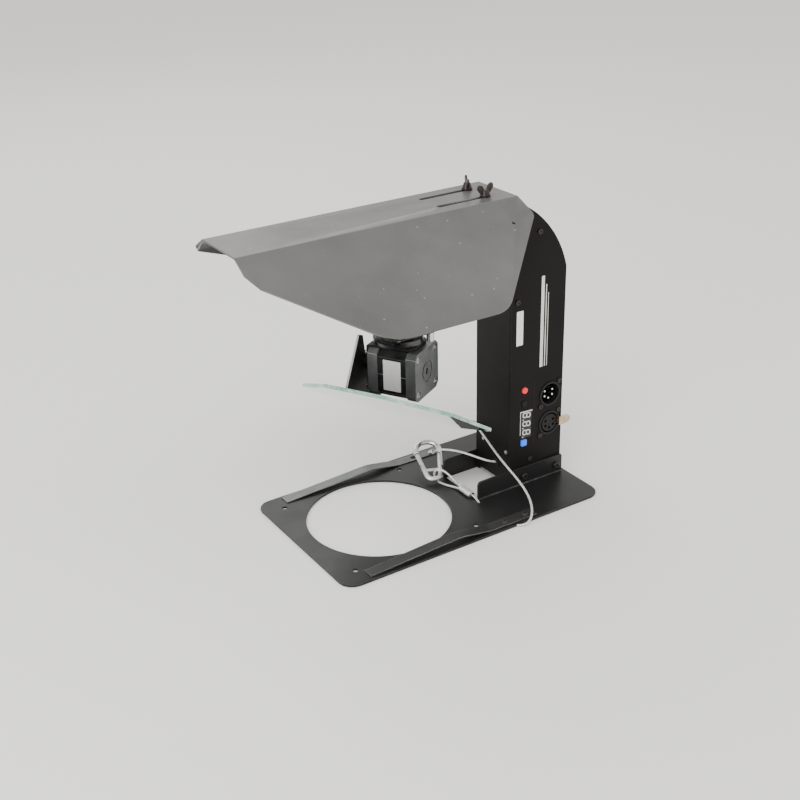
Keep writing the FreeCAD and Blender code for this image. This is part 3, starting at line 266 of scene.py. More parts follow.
def cast_metal(name, tone):
    """Die-cast aluminium with a dark chromate, a fine grain and a painted highlight along its edges."""
    shader = Shader(name, tone, 0.6)
    grain = shader.noise(1100, 3)
    cloud = shader.noise(70, 4)
    dark, light = [c * 0.8 for c in tone], [c * 1.15 for c in tone]
    base = shader.mix(shader.ramp(cloud, (0.3, 0.0), (0.7, 1.0)), dark, light)
    # Painted highlight: the edges are lightened as if their rounding caught the light.
    rim = shader.math("MULTIPLY", shader.edges(0.3 * MM), 0.6)
    shader.color(shader.mix(rim, base, (0.80, 0.79, 0.77)))
    shader.rough(cloud, 0.30, 0.44)
    shader.bump(grain, 0.00004, 0.5)
    return shader.material


def turned_metal(name, tone, roughness=(0.16, 0.28)):
    """Lathe-turned metal with fine rings about the vertical axis."""
    shader = Shader(name, tone, 1.0)
    rings = shader.noise(900, 2, (1, 1, 6))
    dark = [c * 0.85 for c in tone]
    shader.color(shader.mix(shader.ramp(rings, (0.3, 0.0), (0.7, 1.0)), dark, tone))
    shader.rough(rings, *roughness)
    shader.bump(rings, 0.00001, 0.4)
    return shader.material


def laminated(name):
    """Black-painted steel laminations, stacked along the tilt motor's shaft."""
    shader = Shader(name, (0.012, 0.012, 0.013), 0.1)
    axis = shader.add("ShaderNodeVectorMath", {0: shader.place, 1: tuple(YOKE.col[0][:3])},
                      operation="DOT_PRODUCT").outputs["Value"]
    sheets = shader.math("PINGPONG", axis, 0.25 * MM)
    shader.bump(sheets, 0.25, 0.5)
    cloud = shader.noise(120, 4)
    shader.color(shader.ramp(cloud, (0.3, 0.008), (0.7, 0.022)))
    shader.rough(cloud, 0.28, 0.45)
    return shader.material


def plastic(name, tone, roughness=(0.32, 0.48), grain=900, painted_glow=None, strength=0.0, specular=0.5):
    """Moulded plastic with a fine grain and faint colour clouds; a glow colour gives it a painted glow,
    though nothing in it is lit.
    """
    shader = Shader(name, tone, Specular_IOR_Level=specular)
    cloud = shader.noise(60, 3)
    dark = [c * 0.85 for c in tone]
    shader.color(shader.mix(shader.ramp(cloud, (0.3, 0.0), (0.7, 1.0)), dark, tone))
    shader.rough(cloud, *roughness)
    shader.bump(shader.noise(grain, 2), 0.00002, 0.4)
    # Painted glow: emission with no lamp inside.
    if painted_glow:
        shader.surface.inputs["Emission Color"].default_value = (*painted_glow, 1)
        shader.surface.inputs["Emission Strength"].default_value = strength
    return shader.material


def rubber(name):
    """Matt black rubber with a coarse grain."""
    shader = Shader(name, (0.02, 0.02, 0.02), Specular_IOR_Level=0.2)
    grain = shader.noise(700, 4)
    shader.color(shader.ramp(grain, (0.3, 0.007), (0.7, 0.018)))
    shader.rough(grain, 0.62, 0.82)
    shader.bump(grain, 0.00004, 0.6)
    return shader.material


def paper(name):
    """Slightly yellowed label stock with a faint fibre."""
    tone = (0.93, 0.92, 0.90)
    shader = Shader(name, tone)
    fibre = shader.noise(500, 5)
    dark = [c * 0.93 for c in tone]
    shader.color(shader.mix(shader.ramp(fibre, (0.3, 0.0), (0.7, 1.0)), dark, tone))
    shader.rough(fibre, 0.42, 0.58)
    shader.bump(fibre, 0.00001, 0.4)
    return shader.material


def circuit_board(name):
    """Green solder mask with paler tracks showing through."""
    shader = Shader(name, (0.01, 0.12, 0.05))
    tracks = shader.cells(260, (1, 0.2, 1), "DISTANCE_TO_EDGE").outputs["Distance"]
    line = shader.ramp(tracks, (0.04, 1.0), (0.07, 0.0))
    shown = shader.math("MULTIPLY", line, 0.6)
    shader.color(shader.mix(shown, (0.008, 0.09, 0.035), (0.03, 0.22, 0.09)))
    shader.rough(shader.noise(200, 3), 0.22, 0.40)
    shader.bump(line, 0.00003, 0.5)
    return shader.material


def silvering(name):
    """Reflecting face of the mirror: clean, with a faint film of dust."""
    shader = Shader(name, (0.90, 0.92, 0.90), 1.0, 0.02)
    film = shader.noise(25, 5)
    clouds = shader.ramp(film, (0.4, 0.0), (0.8, 1.0))
    shader.color(shader.mix(clouds, (0.92, 0.94, 0.92), (0.82, 0.84, 0.82)))
    shader.rough(film, 0.010, 0.035)
    return shader.material


def glass_edge(name):
    """Ground edge of float glass: pale green with brighter ground grain."""
    shader = Shader(name, (0.36, 0.62, 0.50), 0.0, 0.2)
    grain = shader.noise(600, 4)
    broad = shader.ramp(shader.noise(45, 3), (0.35, 0.0), (0.65, 1.0))
    base = shader.mix(broad, (0.09, 0.30, 0.20), (0.42, 0.62, 0.52))
    shader.color(shader.mix(shader.ramp(grain, (0.45, 0.0), (0.7, 0.4)), base, (0.82, 0.90, 0.85)))
    shader.rough(grain, 0.12, 0.32)
    return shader.material


def sheathed_cable(name):
    """Twisted steel strands under a clear plastic sheath."""
    shader = Shader(name, (0.62, 0.62, 0.60), 0.35, 0.25, Coat_Weight=0.6, Coat_Roughness=0.12)
    strands = shader.noise(1400, 3)
    lit = shader.ramp(strands, (0.38, 0.0), (0.6, 1.0))
    shader.color(shader.mix(lit, (0.42, 0.41, 0.38), (0.80, 0.80, 0.77)))
    shader.rough(strands, 0.20, 0.36)
    shader.bump(strands, 0.0001, 0.5)
    return shader.material


PLATE_PAINT = satin_paint("plate_paint", (0.010, 0.010, 0.010), roughness=(0.30, 0.42), dust=0.04,
                         specular=0.35)
# The column's paint has a slight warm tint, a painted reflection of the wooden table.
COLUMN_PAINT = satin_paint("column_paint", (0.008, 0.007, 0.006), roughness=(0.36, 0.48), dust=0.02,
                           edge=0.2, specular=0.10)
# The hood is black paint like the plate; its grey tone is a painted sheen standing in for the bright
# surroundings it reflects.
HOOD_SHEEN_PAINTED_GREY = satin_paint("hood_paint", (0.092, 0.090, 0.086), roughness=(0.28, 0.40), dust=0.30,
                        speck=0.14)
BRACKET_PAINT = satin_paint("bracket_paint", (0.010, 0.010, 0.010), edge=0.5, specular=0.3)
SPRING_STEEL = scratched_steel("spring_steel", (0.13, 0.14, 0.135))
# Darker copy of the spring steel for the near spring: painted shade for the dark reflection it shows at
# its angle.
NEAR_SPRING_PAINTED_SHADE = scratched_steel("near_spring_painted_shade", (0.030, 0.030, 0.029), metallic=0.3, roughness=(0.34, 0.5))
HUB_STEEL = turned_metal("hub_steel", (0.09, 0.09, 0.09), (0.2, 0.34))
RAW_EDGE = zinc("raw_edge", (0.50, 0.50, 0.48), (0.40, 0.60))
ZINC = zinc("zinc_plate")
BLACK_OXIDE = zinc("black_oxide", (0.050, 0.040, 0.036), (0.30, 0.45), 0.7)
WARM_METAL = zinc("warm_metal", (0.70, 0.54, 0.38))
CAST = cast_metal("die_cast", (0.19, 0.20, 0.195))
TURNED = turned_metal("turned_metal", (0.78, 0.77, 0.75))
BEARING = turned_metal("bearing_steel", (0.70, 0.70, 0.70), (0.1, 0.2))
LAMINATED = laminated("laminations")
BRASS = turned_metal("brass", (0.75, 0.56, 0.26))
BLACK_PLASTIC = plastic("black_plastic", (0.010, 0.010, 0.010), specular=0.2)
DISPLAY_FACE = plastic("display_face", (0.012, 0.011, 0.010), (0.25, 0.35))
SEGMENT = plastic("display_segment", (0.80, 0.79, 0.74), (0.25, 0.35))
PRINT = plastic("white_print", (0.78, 0.77, 0.73), (0.45, 0.6))
# The red and blue lenses get a painted glow; nothing in them is lit, as the display beside them is
# drawn unlit.
RED_LENS = plastic("red_lens", (0.80, 0.03, 0.03), (0.3, 0.4), painted_glow=(1.0, 0.03, 0.03), strength=0.30)
BLUE_LENS = plastic("blue_lens", (0.04, 0.16, 0.85), (0.12, 0.2), painted_glow=(0.06, 0.25, 1.0), strength=0.45)
RUBBER = rubber("rubber")
PAPER = paper("label_paper")
BOARD = circuit_board("circuit_board")
SILVER = silvering("mirror_silver")
BACKING = plastic("mirror_backing", (0.17, 0.175, 0.175), (0.45, 0.6), 1400)
GLASS_EDGE = glass_edge("glass_edge")
CABLE = sheathed_cable("sheathed_cable")


# ---------------------------------------------------------------- mesh helpers
def link(name, mesh, material, body, hides=()):
    """Put a finished mesh in the scene, on its body and in place of the nodes it hides.
    material is one material or a list in the order of the faces' indices."""
    obj = bpy.data.objects.new(name, mesh)
    bpy.context.scene.collection.objects.link(obj)
    for entry in material if isinstance(material, (list, tuple)) else [material]:
        obj.data.materials.append(entry)
    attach(obj, body)
    if hides:
        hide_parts(*hides)
    return obj


def node_body(node):
    """Body that the node rides on."""
    return frame["nodes"][node]["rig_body"]


def weighted(obj, angle=35):
    """Smooth round faces, crisp flat ones."""
    obj.data.shade_smooth()
    obj.data.set_sharp_from_angle(angle=math.radians(angle))
    normals = obj.modifiers.new("normals", "WEIGHTED_NORMAL")
    normals.keep_sharp = True
    return obj


ROUND_ANGLE = 30      # edges that turn by more than this are broken, in degrees


def softened(node, material, width, faces=None):
    """A CAD node's shape in place of the node, with its edges broken by a round of that width
    in millimetres, or left as they are at 0.
    faces(normal) picks the material's index from a face's direction."""
    mesh = frame["nodes"][node].data.copy()
    mesh.name = node + "_finished"
    shading = ("custom_normal", "sharp_edge", "sharp_face")
    for attribute in [a for a in mesh.attributes if a.name in shading]:
        mesh.attributes.remove(attribute)
    mesh.materials.clear()
    shape = bmesh.new()
    shape.from_mesh(mesh)
    bmesh.ops.remove_doubles(shape, verts=shape.verts, dist=0.002 * MM)
    if width:
        bmesh.ops.dissolve_limit(shape, angle_limit=math.radians(1.0), verts=shape.verts,
                                 edges=shape.edges)
    for face in shape.faces:
        face.material_index = faces(face.normal) if faces else 0
    shape.to_mesh(mesh)
    shape.free()
    obj = link(node + "_finished", mesh, material, node_body(node), [node])
    obj.data.shade_smooth()
    obj.data.set_sharp_from_angle(angle=math.radians(ROUND_ANGLE + 5))
    if width:
        bevel = obj.modifiers.new("edges", "BEVEL")
        bevel.width = width * MM
        bevel.segments = 2
        bevel.limit_method = "ANGLE"
        bevel.angle_limit = math.radians(ROUND_ANGLE)
        bevel.use_clamp_overlap = False
        bevel.harden_normals = True
        bevel.miter_outer = "MITER_ARC"
    normals = obj.modifiers.new("normals", "WEIGHTED_NORMAL")
    normals.keep_sharp = True
    return obj


def rounded(corners, steps=8):
    """Closed outline round (a, b, radius) corners, in millimetres, as a list of points."""
    points = []
    tips = [Vector((a, b)) for a, b, _ in corners]
    for i, tip in enumerate(tips):
        radius = corners[i][2]
        back = (tips[i - 1] - tip).normalized()
        ahead = (tips[(i + 1) % len(tips)] - tip).normalized()
        if radius == 0:
            points.append(tip)
            continue
        half = back.angle(ahead) / 2
        centre = tip + (back + ahead).normalized() * (radius / math.sin(half))
        start, end = tip + back * radius / math.tan(half), tip + ahead * radius / math.tan(half)
        sweep = (start - centre).angle_signed(end - centre)
        for k in range(steps + 1):
            turn = Matrix.Rotation(-sweep * k / steps, 2)
            points.append(centre + turn @ (start - centre))
    return points


def rectangle(x0, x1, y0, y1, radius=0.4, steps=4):
    """Outline of a rectangle with round corners."""
    corners = [(x0, y0, radius), (x1, y0, radius), (x1, y1, radius), (x0, y1, radius)]
    return rounded(corners, steps)


def circle(a, b, radius, steps):
    """Outline of a circle about (a, b)."""
    turns = [2 * math.pi * k / steps for k in range(steps)]
    return [Vector((a + radius * math.cos(t), b + radius * math.sin(t))) for t in turns]


def filled(loops, thickness=0.0, bevel=0.0):
    """Mesh of a flat outline with holes, in millimetres, thickened evenly about its plane."""
    curve = bpy.data.curves.new("outline", "CURVE")
    curve.dimensions = "2D"
    curve.fill_mode = "BOTH"
    curve.extrude = thickness / 2 - bevel
    curve.bevel_depth = bevel
    curve.offset = -bevel
    curve.bevel_resolution = 1
    for loop in loops:
        spline = curve.splines.new("POLY")
        spline.points.add(len(loop) - 1)
        for point, place in zip(spline.points, loop):
            point.co = (place.x, place.y, 0, 1)
        spline.use_cyclic_u = True
    holder = bpy.data.objects.new("outline", curve)
    bpy.context.scene.collection.objects.link(holder)
    bpy.context.view_layer.update()
    solid = holder.evaluated_get(bpy.context.evaluated_depsgraph_get())
    mesh = bpy.data.meshes.new_from_object(solid)
    bpy.data.objects.remove(holder)
    bpy.data.curves.remove(curve)
    shape = bmesh.new()
    shape.from_mesh(mesh)
    bmesh.ops.remove_doubles(shape, verts=shape.verts, dist=0.001)
    bmesh.ops.recalc_face_normals(shape, faces=shape.faces)
    shape.to_mesh(mesh)
    shape.free()
    return mesh


def plate(name, loops, thickness, bevel, place, material, body, hides=()):
    """Flat piece with broken edges; place sets its plane in the row frame."""
    mesh = filled(loops, thickness, bevel)
    mesh.transform(place @ Matrix.Scale(MM, 4))
    return weighted(link(name, mesh, material, body, hides))


def facing(origin, across, upward):
    """Matrix with its x along across, its y along upward and z out of that plane."""
    a, b = Vector(across).normalized(), Vector(upward).normalized()
    turn = Matrix((a, b, a.cross(b))).transposed().to_4x4()
    return Matrix.Translation(Vector(origin)) @ turn


# ---------------------------------------------------------------- safety cable
# Control points in millimetres. About its crest and behind the column the arc lies up to 4 mm
# lower than its CAD tube.
ARC_ROUTE = [(89.0, -79.4, 1.25), (94.0, -83.6, 1.5), (100.5, -83.4, 4.6), (106.5, -78.0, 9.2),
             (110.8, -69.6, 13.8), (113.2, -59.0, 18.6), (113.6, -46.5, 24.2), (112.8, -33.0, 30.0),
             (113.2, -19.0, 35.2), (114.8, -5.0, 40.0), (116.6, 9.0, 44.6), (118.4, 20.5, 47.0),
             (121.4, 31.2, 45.6), (128.4, 39.6, 41.2), (137.6, 44.8, 33.6), (146.6, 47.6, 23.8),
             (153.2, 48.2, 13.8), (155.8, 47.2, 1.0)]
LEAD_ROUTE = [(123.0, -6.0, 19.5), (117.4, -3.4, 20.4), (112.0, 3.4, 22.0), (106.0, 13.6, 23.6),
              (100.0, 25.2, 24.2), (92.6, 36.6, 23.0), (88.0, 42.0, 20.5), (87.6, 49.4, 15.2)]
EYE_ROUTE = [(85.1, -30.2, 1.05), (85.2, -25.6, 3.3), (85.2, -19.6, 4.25), (85.2, -2.4, 4.3),
             (84.6, 6.6, 7.0), (82.6, 13.2, 10.8), (79.4, 18.6, 14.0), (75.8, 22.8, 13.4),
             (74.2, 24.2, 9.2), (74.4, 22.4, 4.9), (75.0, 17.6, 3.3), (76.6, 11.0, 3.25),
             (79.6, 4.0, 3.4), (82.3, -2.6, 4.0), (82.6, -16.0, 4.25)]


def cable(name, route, node):
    """Smooth cable along its control points, in place of the node's tube."""
    curve = bpy.data.curves.new(name, "CURVE")
    curve.dimensions = "3D"
    curve.bevel_depth = CABLE_D / 2
    curve.bevel_resolution = 5
    curve.resolution_u = 10
    curve.use_fill_caps = True
    spline = curve.splines.new("NURBS")
    spline.points.add(len(route) - 1)
    for point, place in zip(spline.points, route):
        point.co = (*(c * MM for c in place), 1)
    spline.order_u = 3
    spline.use_endpoint_u = True
    return link(name, curve, CABLE, "stand", [node])


stop_sleeve = softened("cable_stop", ZINC, 0.25)
ferrule = softened("cable_ferrule", ZINC, 0.3)
hook = softened("hook_body", ZINC, 0.0)
softened("hook_gate", ZINC, 0.3)
gate_pin = softened("hook_pin", ZINC, 0.1)
arc = cable("safety_cable_arc", ARC_ROUTE, "cable_arc")
lead = cable("safety_cable_lead", LEAD_ROUTE, "cable_lead")
eye = cable("safety_cable_eye", EYE_ROUTE, "cable_eye")


# ---------------------------------------------------------------- nodes kept in their CAD shape
# Each node's material and the width of its broken edges in millimetres.
FINISHES = {
    # The near spring takes the darker copy of the spring steel, a painted shade.
    "leaf_spring_near": (NEAR_SPRING_PAINTED_SHADE, 0.12),
    "leaf_spring_far": (SPRING_STEEL, 0.12), "spring_rivets": (BLACK_OXIDE, 0.2),
    "housing_channel": (COLUMN_PAINT, 0.5),
    "cover_screws": (BLACK_OXIDE, 0.1), "front_screws": (ZINC, 0.1),
    "flange_screws": (BLACK_OXIDE, 0.15), "cable_bush": (RUBBER, 0.2), "far_bush": (RUBBER, 0.2),
    "control_board": (BOARD, 0.1), "driver_board": (BOARD, 0.1),
    "board_standoffs": (BRASS, 0.1), "xlr_male_shell": (BLACK_PLASTIC, 0.15),
    "xlr_male_pins": (TURNED, 0.0), "xlr_female_shell": (BLACK_PLASTIC, 0.12),
    "xlr_female_insert": (BLACK_PLASTIC, 0.0),
    "xlr_latch": (WARM_METAL, 0.2), "connector_screws": (BLACK_OXIDE, 0.1),
    "pan_motor_caps": (CAST, 0.0), "pan_motor_stator": (LAMINATED, 0.3),
    "pan_motor_bearings": (BEARING, 0.15), "pan_motor_screws": (ZINC, 0.15),
    "pan_cradle": (BRACKET_PAINT, 0.0), "cradle_screws": (ZINC, 0.15),
    "pan_stop_post": (TURNED, 0.0), "hood_washers": (BLACK_OXIDE, 0.12),
    "weld_nuts": (ZINC, 0.15), "pan_rotor": (TURNED, 0.15), "pan_hub": (HUB_STEEL, 0.0),
    "yoke_bracket": (BRACKET_PAINT, 0.2), "hub_screws": (BLACK_OXIDE, 0.1),
    "yoke_screws": (ZINC, 0.1), "tilt_motor_caps": (CAST, 0.0),
    "tilt_motor_stator": (LAMINATED, 0.3), "tilt_motor_bearings": (BEARING, 0.15),
    "tilt_motor_screws": (ZINC, 0.15), "tilt_rotor": (TURNED, 0.15),
    "collar_screw": (BLACK_OXIDE, 0.1), "mirror_pad": (RUBBER, 0.1),
    "wing_screw_near": (BLACK_OXIDE, 0.2), "wing_screw_far": (BLACK_OXIDE, 0.2),
    "red_button": (RED_LENS, 0.0), "black_button": (RUBBER, 0.0),
    "blue_button": (BLUE_LENS, 0.2), "display_module": (DISPLAY_FACE, 0.1),
}
for node, (material, width) in FINISHES.items():
    softened(node, material, width)


def cheek_faces(normal):
    """The cheek's sheared edges are bare metal, and its flat faces are painted."""
    return 1 if abs(normal.dot(YOKE.col[0].to_3d())) < 0.5 else 0


softened("mirror_bracket", [BRACKET_PAINT, RAW_EDGE], 0.15, cheek_faces)


# ---------------------------------------------------------------- plate and side cover
# Millimetres, as in the part; a hole is (x, y, radius) on the plate and (x, z, radius) upright.
PLATE_HALF, PLATE_BACK, PLATE_T, PLATE_CORNER = 79.375, 184.0, 2.0, 13.0
FLANGE_FRONT, FLANGE_BACK, FLANGE_TOP, FLANGE_T = 86.6, 181.0, 19.0, 2.0
COLUMN_HALF = 25.0
APERTURE_R = 63
FRAME_HOLES = [(x, y, 2.3) for x in (-60, 60) for y in (-60, 60)]
RIVET_HOLES = [(x, y, 1.6) for x in (82, 104) for y in (-70.75, 70.75)]
FAR_BUSH_HOLE = (156, 47, 3.0)
CABLE_SLOT = (83.7, 86.5, -32.4, -27.2)      # x and y ranges
FLANGE_SCREWS = [(137.5, 9.6), (174, 9.6)]
COVER_SCREWS = [(144.8, 24.5), (150, 236), (14, 236), (128, 178)]
FLANGE_HOLE_R, COVER_HOLE_R = 1.6, 1.4
BUTTON_HOLES = [(137.4, 94, 3.2), (137.4, 81, 3.2)]
BLUE_WINDOW = (134.2, 140.6, 39.5, 45.9)     # x and z ranges
DISPLAY_WINDOW = (134.6, 146.6, 46.5, 74.0)
CONNECTOR_HOLES = [(166, 83.2, 11.8), (166, 54.6, 11.8)]
COVER_T = 1.5
COVER_MIDDLE_Y = -24.25


def fold_strip(name, side):
    """Concave inside round of the bend between the plate and a flange, sunk a little into both."""
    radius, steps, sunk, short = 1.1, 8, 0.02, 0.4
    profile = [Vector((0.0, 0.0))]
    for k in range(steps + 1):
        t = math.pi / 2 * k / steps
        profile.append(Vector((radius * (1 - math.sin(t)), radius * (1 - math.cos(t)))))
    shape = bmesh.new()
    ends = []
    for x in (FLANGE_FRONT + short, FLANGE_BACK - short):
        foot = COLUMN_HALF + FLANGE_T - sunk
        row = [(x, side * (foot + p.x), PLATE_T - sunk + p.y) for p in profile]
        ends.append([shape.verts.new(Vector(place) * MM) for place in row])
    count = len(profile)
    for i in range(count):
        j = (i + 1) % count
        shape.faces.new((ends[0][i], ends[0][j], ends[1][j], ends[1][i]))
    shape.faces.new(ends[0])
    shape.faces.new(ends[1])
    bmesh.ops.recalc_face_normals(shape, faces=shape.faces)
    mesh = bpy.data.meshes.new(name)
    shape.to_mesh(mesh)
    shape.free()
    weighted(link(name, mesh, PLATE_PAINT, "stand"), 40)


def upright(y):
    """Plane across Y at y millimetres: x along +X, y up."""
    return facing((0, y * MM, 0), (1, 0, 0), (0, 0, 1))


def make_plate():
    """Plate with its aperture, window and holes, and the two flanges folded up from it."""
    loops = [rectangle(-PLATE_HALF, PLATE_BACK, -PLATE_HALF, PLATE_HALF, PLATE_CORNER),
             circle(0, 0, APERTURE_R, 160),
             rectangle(FLANGE_FRONT, FLANGE_BACK, -COLUMN_HALF, COLUMN_HALF),
             rectangle(*CABLE_SLOT)]
    loops += [circle(x, y, r, 32) for x, y, r in [FAR_BUSH_HOLE] + FRAME_HOLES + RIVET_HOLES]
    middle = Matrix.Translation((0, 0, PLATE_T / 2 * MM))
    plate("plate_sheet", loops, PLATE_T, 0.25, middle, PLATE_PAINT, "stand", ["base_plate"])
    foot, foot_r, front_r, back_r = 0.3, 0.2, 3.5, 2
    corners = [(FLANGE_FRONT, foot, foot_r), (FLANGE_BACK, foot, foot_r),
               (FLANGE_BACK, FLANGE_TOP, back_r), (FLANGE_FRONT, FLANGE_TOP, front_r)]
    for name, side in (("near", -1), ("far", 1)):
        flange = [rounded(corners)] + [circle(x, z, FLANGE_HOLE_R, 24) for x, z in FLANGE_SCREWS]
        place = upright(side * (COLUMN_HALF + FLANGE_T / 2))
        plate("flange_" + name, flange, FLANGE_T, 0.2, place, PLATE_PAINT, "stand")
        fold_strip("fold_" + name, side)


def make_side_cover():
    """Near side of column and arm, with one large arc over the rear corner."""
    crown_x, crown_z, crown_r, steps = 84.5, 175.8, 98.5, 28
    foot, back, column_front, arm_under, arm_front, top = 1, 180.0, 122, 222, -10, 269.5
    first = math.asin((top - crown_z) / crown_r)
    last = math.acos((back - crown_x) / crown_r)
    corners = [(back, foot), (column_front, foot), (column_front, arm_under), (arm_front, arm_under),
               (arm_front, top)]
    outline = [Vector(p) for p in corners]
    for k in range(steps + 1):
        t = first + (last - first) * k / steps
        outline.append(Vector((crown_x + crown_r * math.cos(t), crown_z + crown_r * math.sin(t))))
    loops = [outline] + [circle(x, z, r, 32) for x, z, r in BUTTON_HOLES]
    loops += [rectangle(*BLUE_WINDOW), rectangle(*DISPLAY_WINDOW)]
    loops += [circle(x, z, r, 64) for x, z, r in CONNECTOR_HOLES]
    loops += [circle(x, z, COVER_HOLE_R, 16) for x, z in COVER_SCREWS + FLANGE_SCREWS]
    plate("side_cover_sheet", loops, COVER_T, 0.12, upright(COVER_MIDDLE_Y), COLUMN_PAINT, "stand",
          ["side_cover"])


make_plate()
make_side_cover()


# ---------------------------------------------------------------- hood
HOOD_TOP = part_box("hood")[1].z / MM
HOOD_HALF = 26.6                    # half width of the flat top
HOOD_SLOPE = math.radians(32.2)
HOOD_T = 1.4
HOOD_FRONT, HOOD_BACK = -127.5, 124.6
FOLD_R = 3.0
FOLD_REACH = FOLD_R * math.tan(HOOD_SLOPE / 2)
FOLD_STEPS = 8
SLOT_Y, SLOT_R, SLOT_FRONT, SLOT_REAR = 12.5, 2.3, 55.7, 105.2
# Corners of a side as (x, distance down the slope from the fold, radius), front to rear.
HOOD_SIDE = [(HOOD_FRONT, 17, 3), (-121.0, 31.7, 6), (-49.4, 101.4, 46), (52, 101.4, 26),
             (127.8, 21.5, 9)]
HOOD_HOLE = (104.5, 25.0, 1.6)      # the same three measures


def folded(x, t):
    """Point of the hood's outer face from its flat pattern: x along, t across from the middle."""
    side, d = math.copysign(1, t), abs(t) - HOOD_HALF
    if d <= -FOLD_REACH:
        return Vector((x, t, HOOD_TOP))
    if d >= FOLD_REACH:
        across = HOOD_HALF + d * math.cos(HOOD_SLOPE)
        return Vector((x, side * across, HOOD_TOP - d * math.sin(HOOD_SLOPE)))
    turn = HOOD_SLOPE * (d + FOLD_REACH) / (2 * FOLD_REACH)
    across = HOOD_HALF - FOLD_REACH + FOLD_R * math.sin(turn)
    return Vector((x, side * across, HOOD_TOP - FOLD_R * (1 - math.cos(turn))))


def make_hood():
    """Flat pattern with its slots and hole, folded down along both sides of the top."""
    near = [(x, -HOOD_HALF - s, r) for x, s, r in HOOD_SIDE]
    far = [(x, HOOD_HALF + s, r) for x, s, r in reversed(HOOD_SIDE)]
    corners = near + [(HOOD_BACK, -HOOD_HALF, 0), (HOOD_BACK, HOOD_HALF, 0)] + far
    corners += [(HOOD_FRONT, HOOD_HALF, 0), (HOOD_FRONT, -HOOD_HALF, 0)]
    loops = [rounded(corners, 16)]
    for y in (-SLOT_Y, SLOT_Y):
        end_r = SLOT_R - 0.01       # leaves the two arcs of an end apart
        loops.append(rectangle(SLOT_FRONT, SLOT_REAR, y - SLOT_R, y + SLOT_R, end_r, 8))
    x, s, r = HOOD_HOLE
    loops.append(circle(x, -HOOD_HALF - s, r, 24))
    mesh = filled(loops)
    shape = bmesh.new()
    shape.from_mesh(mesh)
    bmesh.ops.triangulate(shape, faces=shape.faces)
    inner = [edge for edge in shape.edges if not edge.is_boundary]
    bmesh.ops.beautify_fill(shape, faces=shape.faces, edges=inner)
    for side in (-1, 1):
        for k in range(FOLD_STEPS + 1):
            t = side * (HOOD_HALF - FOLD_REACH + 2 * FOLD_REACH * k / FOLD_STEPS)
            parts = shape.verts[:] + shape.edges[:] + shape.faces[:]
            bmesh.ops.bisect_plane(shape, geom=parts, plane_co=(0, t, 0), plane_no=(0, 1, 0))
    for vert in shape.verts:
        vert.co = folded(vert.co.x, vert.co.y) * MM
    shape.normal_update()
    if sum(face.normal.z for face in shape.faces) < 0:
        bmesh.ops.reverse_faces(shape, faces=shape.faces)
    shape.to_mesh(mesh)
    shape.free()
    # The hood's grey paint tone is a painted sheen.
    obj = link("hood_sheet", mesh, HOOD_SHEEN_PAINTED_GREY, "hood", ["hood"])
    thick = obj.modifiers.new("sheet", "SOLIDIFY")
    thick.thickness = HOOD_T * MM
    thick.offset = -1
    thick.use_even_offset = False
    bevel = obj.modifiers.new("edges", "BEVEL")
    bevel.width = 0.18 * MM
    bevel.segments = 2
    bevel.limit_method = "ANGLE"
    bevel.angle_limit = math.radians(50)
    weighted(obj, 50)


make_hood()


# ---------------------------------------------------------------- mirror glass
# Half sizes across and up the slope, and the legs of the clipped corners. The glass's back lies
# at MIRROR_BACK from the tilt shaft, and its middle is shifted along the slope.
MIRROR_HALF_U, MIRROR_HALF_B, MIRROR_CLIP = 68.2, 88.0, 43.0
MIRROR_BACK, MIRROR_SHIFT, MIRROR_T = -32.5, -5.3, 3.0


def make_mirror():
    """Octagonal glass, silvered below and painted grey on its back."""
    u, b, clip = MIRROR_HALF_U, MIRROR_HALF_B, MIRROR_CLIP
    corners = [(u, b - clip, 1), (u - clip, b, 1), (-u + clip, b, 1), (-u, b - clip, 1),
               (-u, -b + clip, 1), (-u + clip, -b, 1), (u - clip, -b, 1), (u, -b + clip, 1)]
    mesh = filled([rounded(corners, 4)], MIRROR_T, 0.3)
    for polygon in mesh.polygons:
        lift = polygon.normal.z
        polygon.material_index = 0 if lift < -0.95 else 1 if lift > 0.95 else 2
    place = MIRROR @ Matrix.Translation((0, MIRROR_SHIFT * MM, (MIRROR_BACK - MIRROR_T / 2) * MM))
    mesh.transform(place @ Matrix.Scale(MM, 4))
    layers = [SILVER, BACKING, GLASS_EDGE]
    weighted(link("mirror_plate", mesh, layers, "mirror", ["mirror_glass"]))


make_mirror()


# ---------------------------------------------------------------- labels, print and display
COVER_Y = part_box("side_cover")[0].y / MM
LABEL_LIFT = 0.06


def cover_place(lift=LABEL_LIFT):
    """Plane just off the side cover: x along +X, y up, z out of the cover."""
    return upright(COVER_Y - lift)


def thin(name, loop, place, material, body, thickness=0.1, hides=()):
    """Label, print or seam: a plate of one outline, a fraction of a millimetre thick."""
    plate(name, [loop], thickness, 0.02, place, material, body, hides)


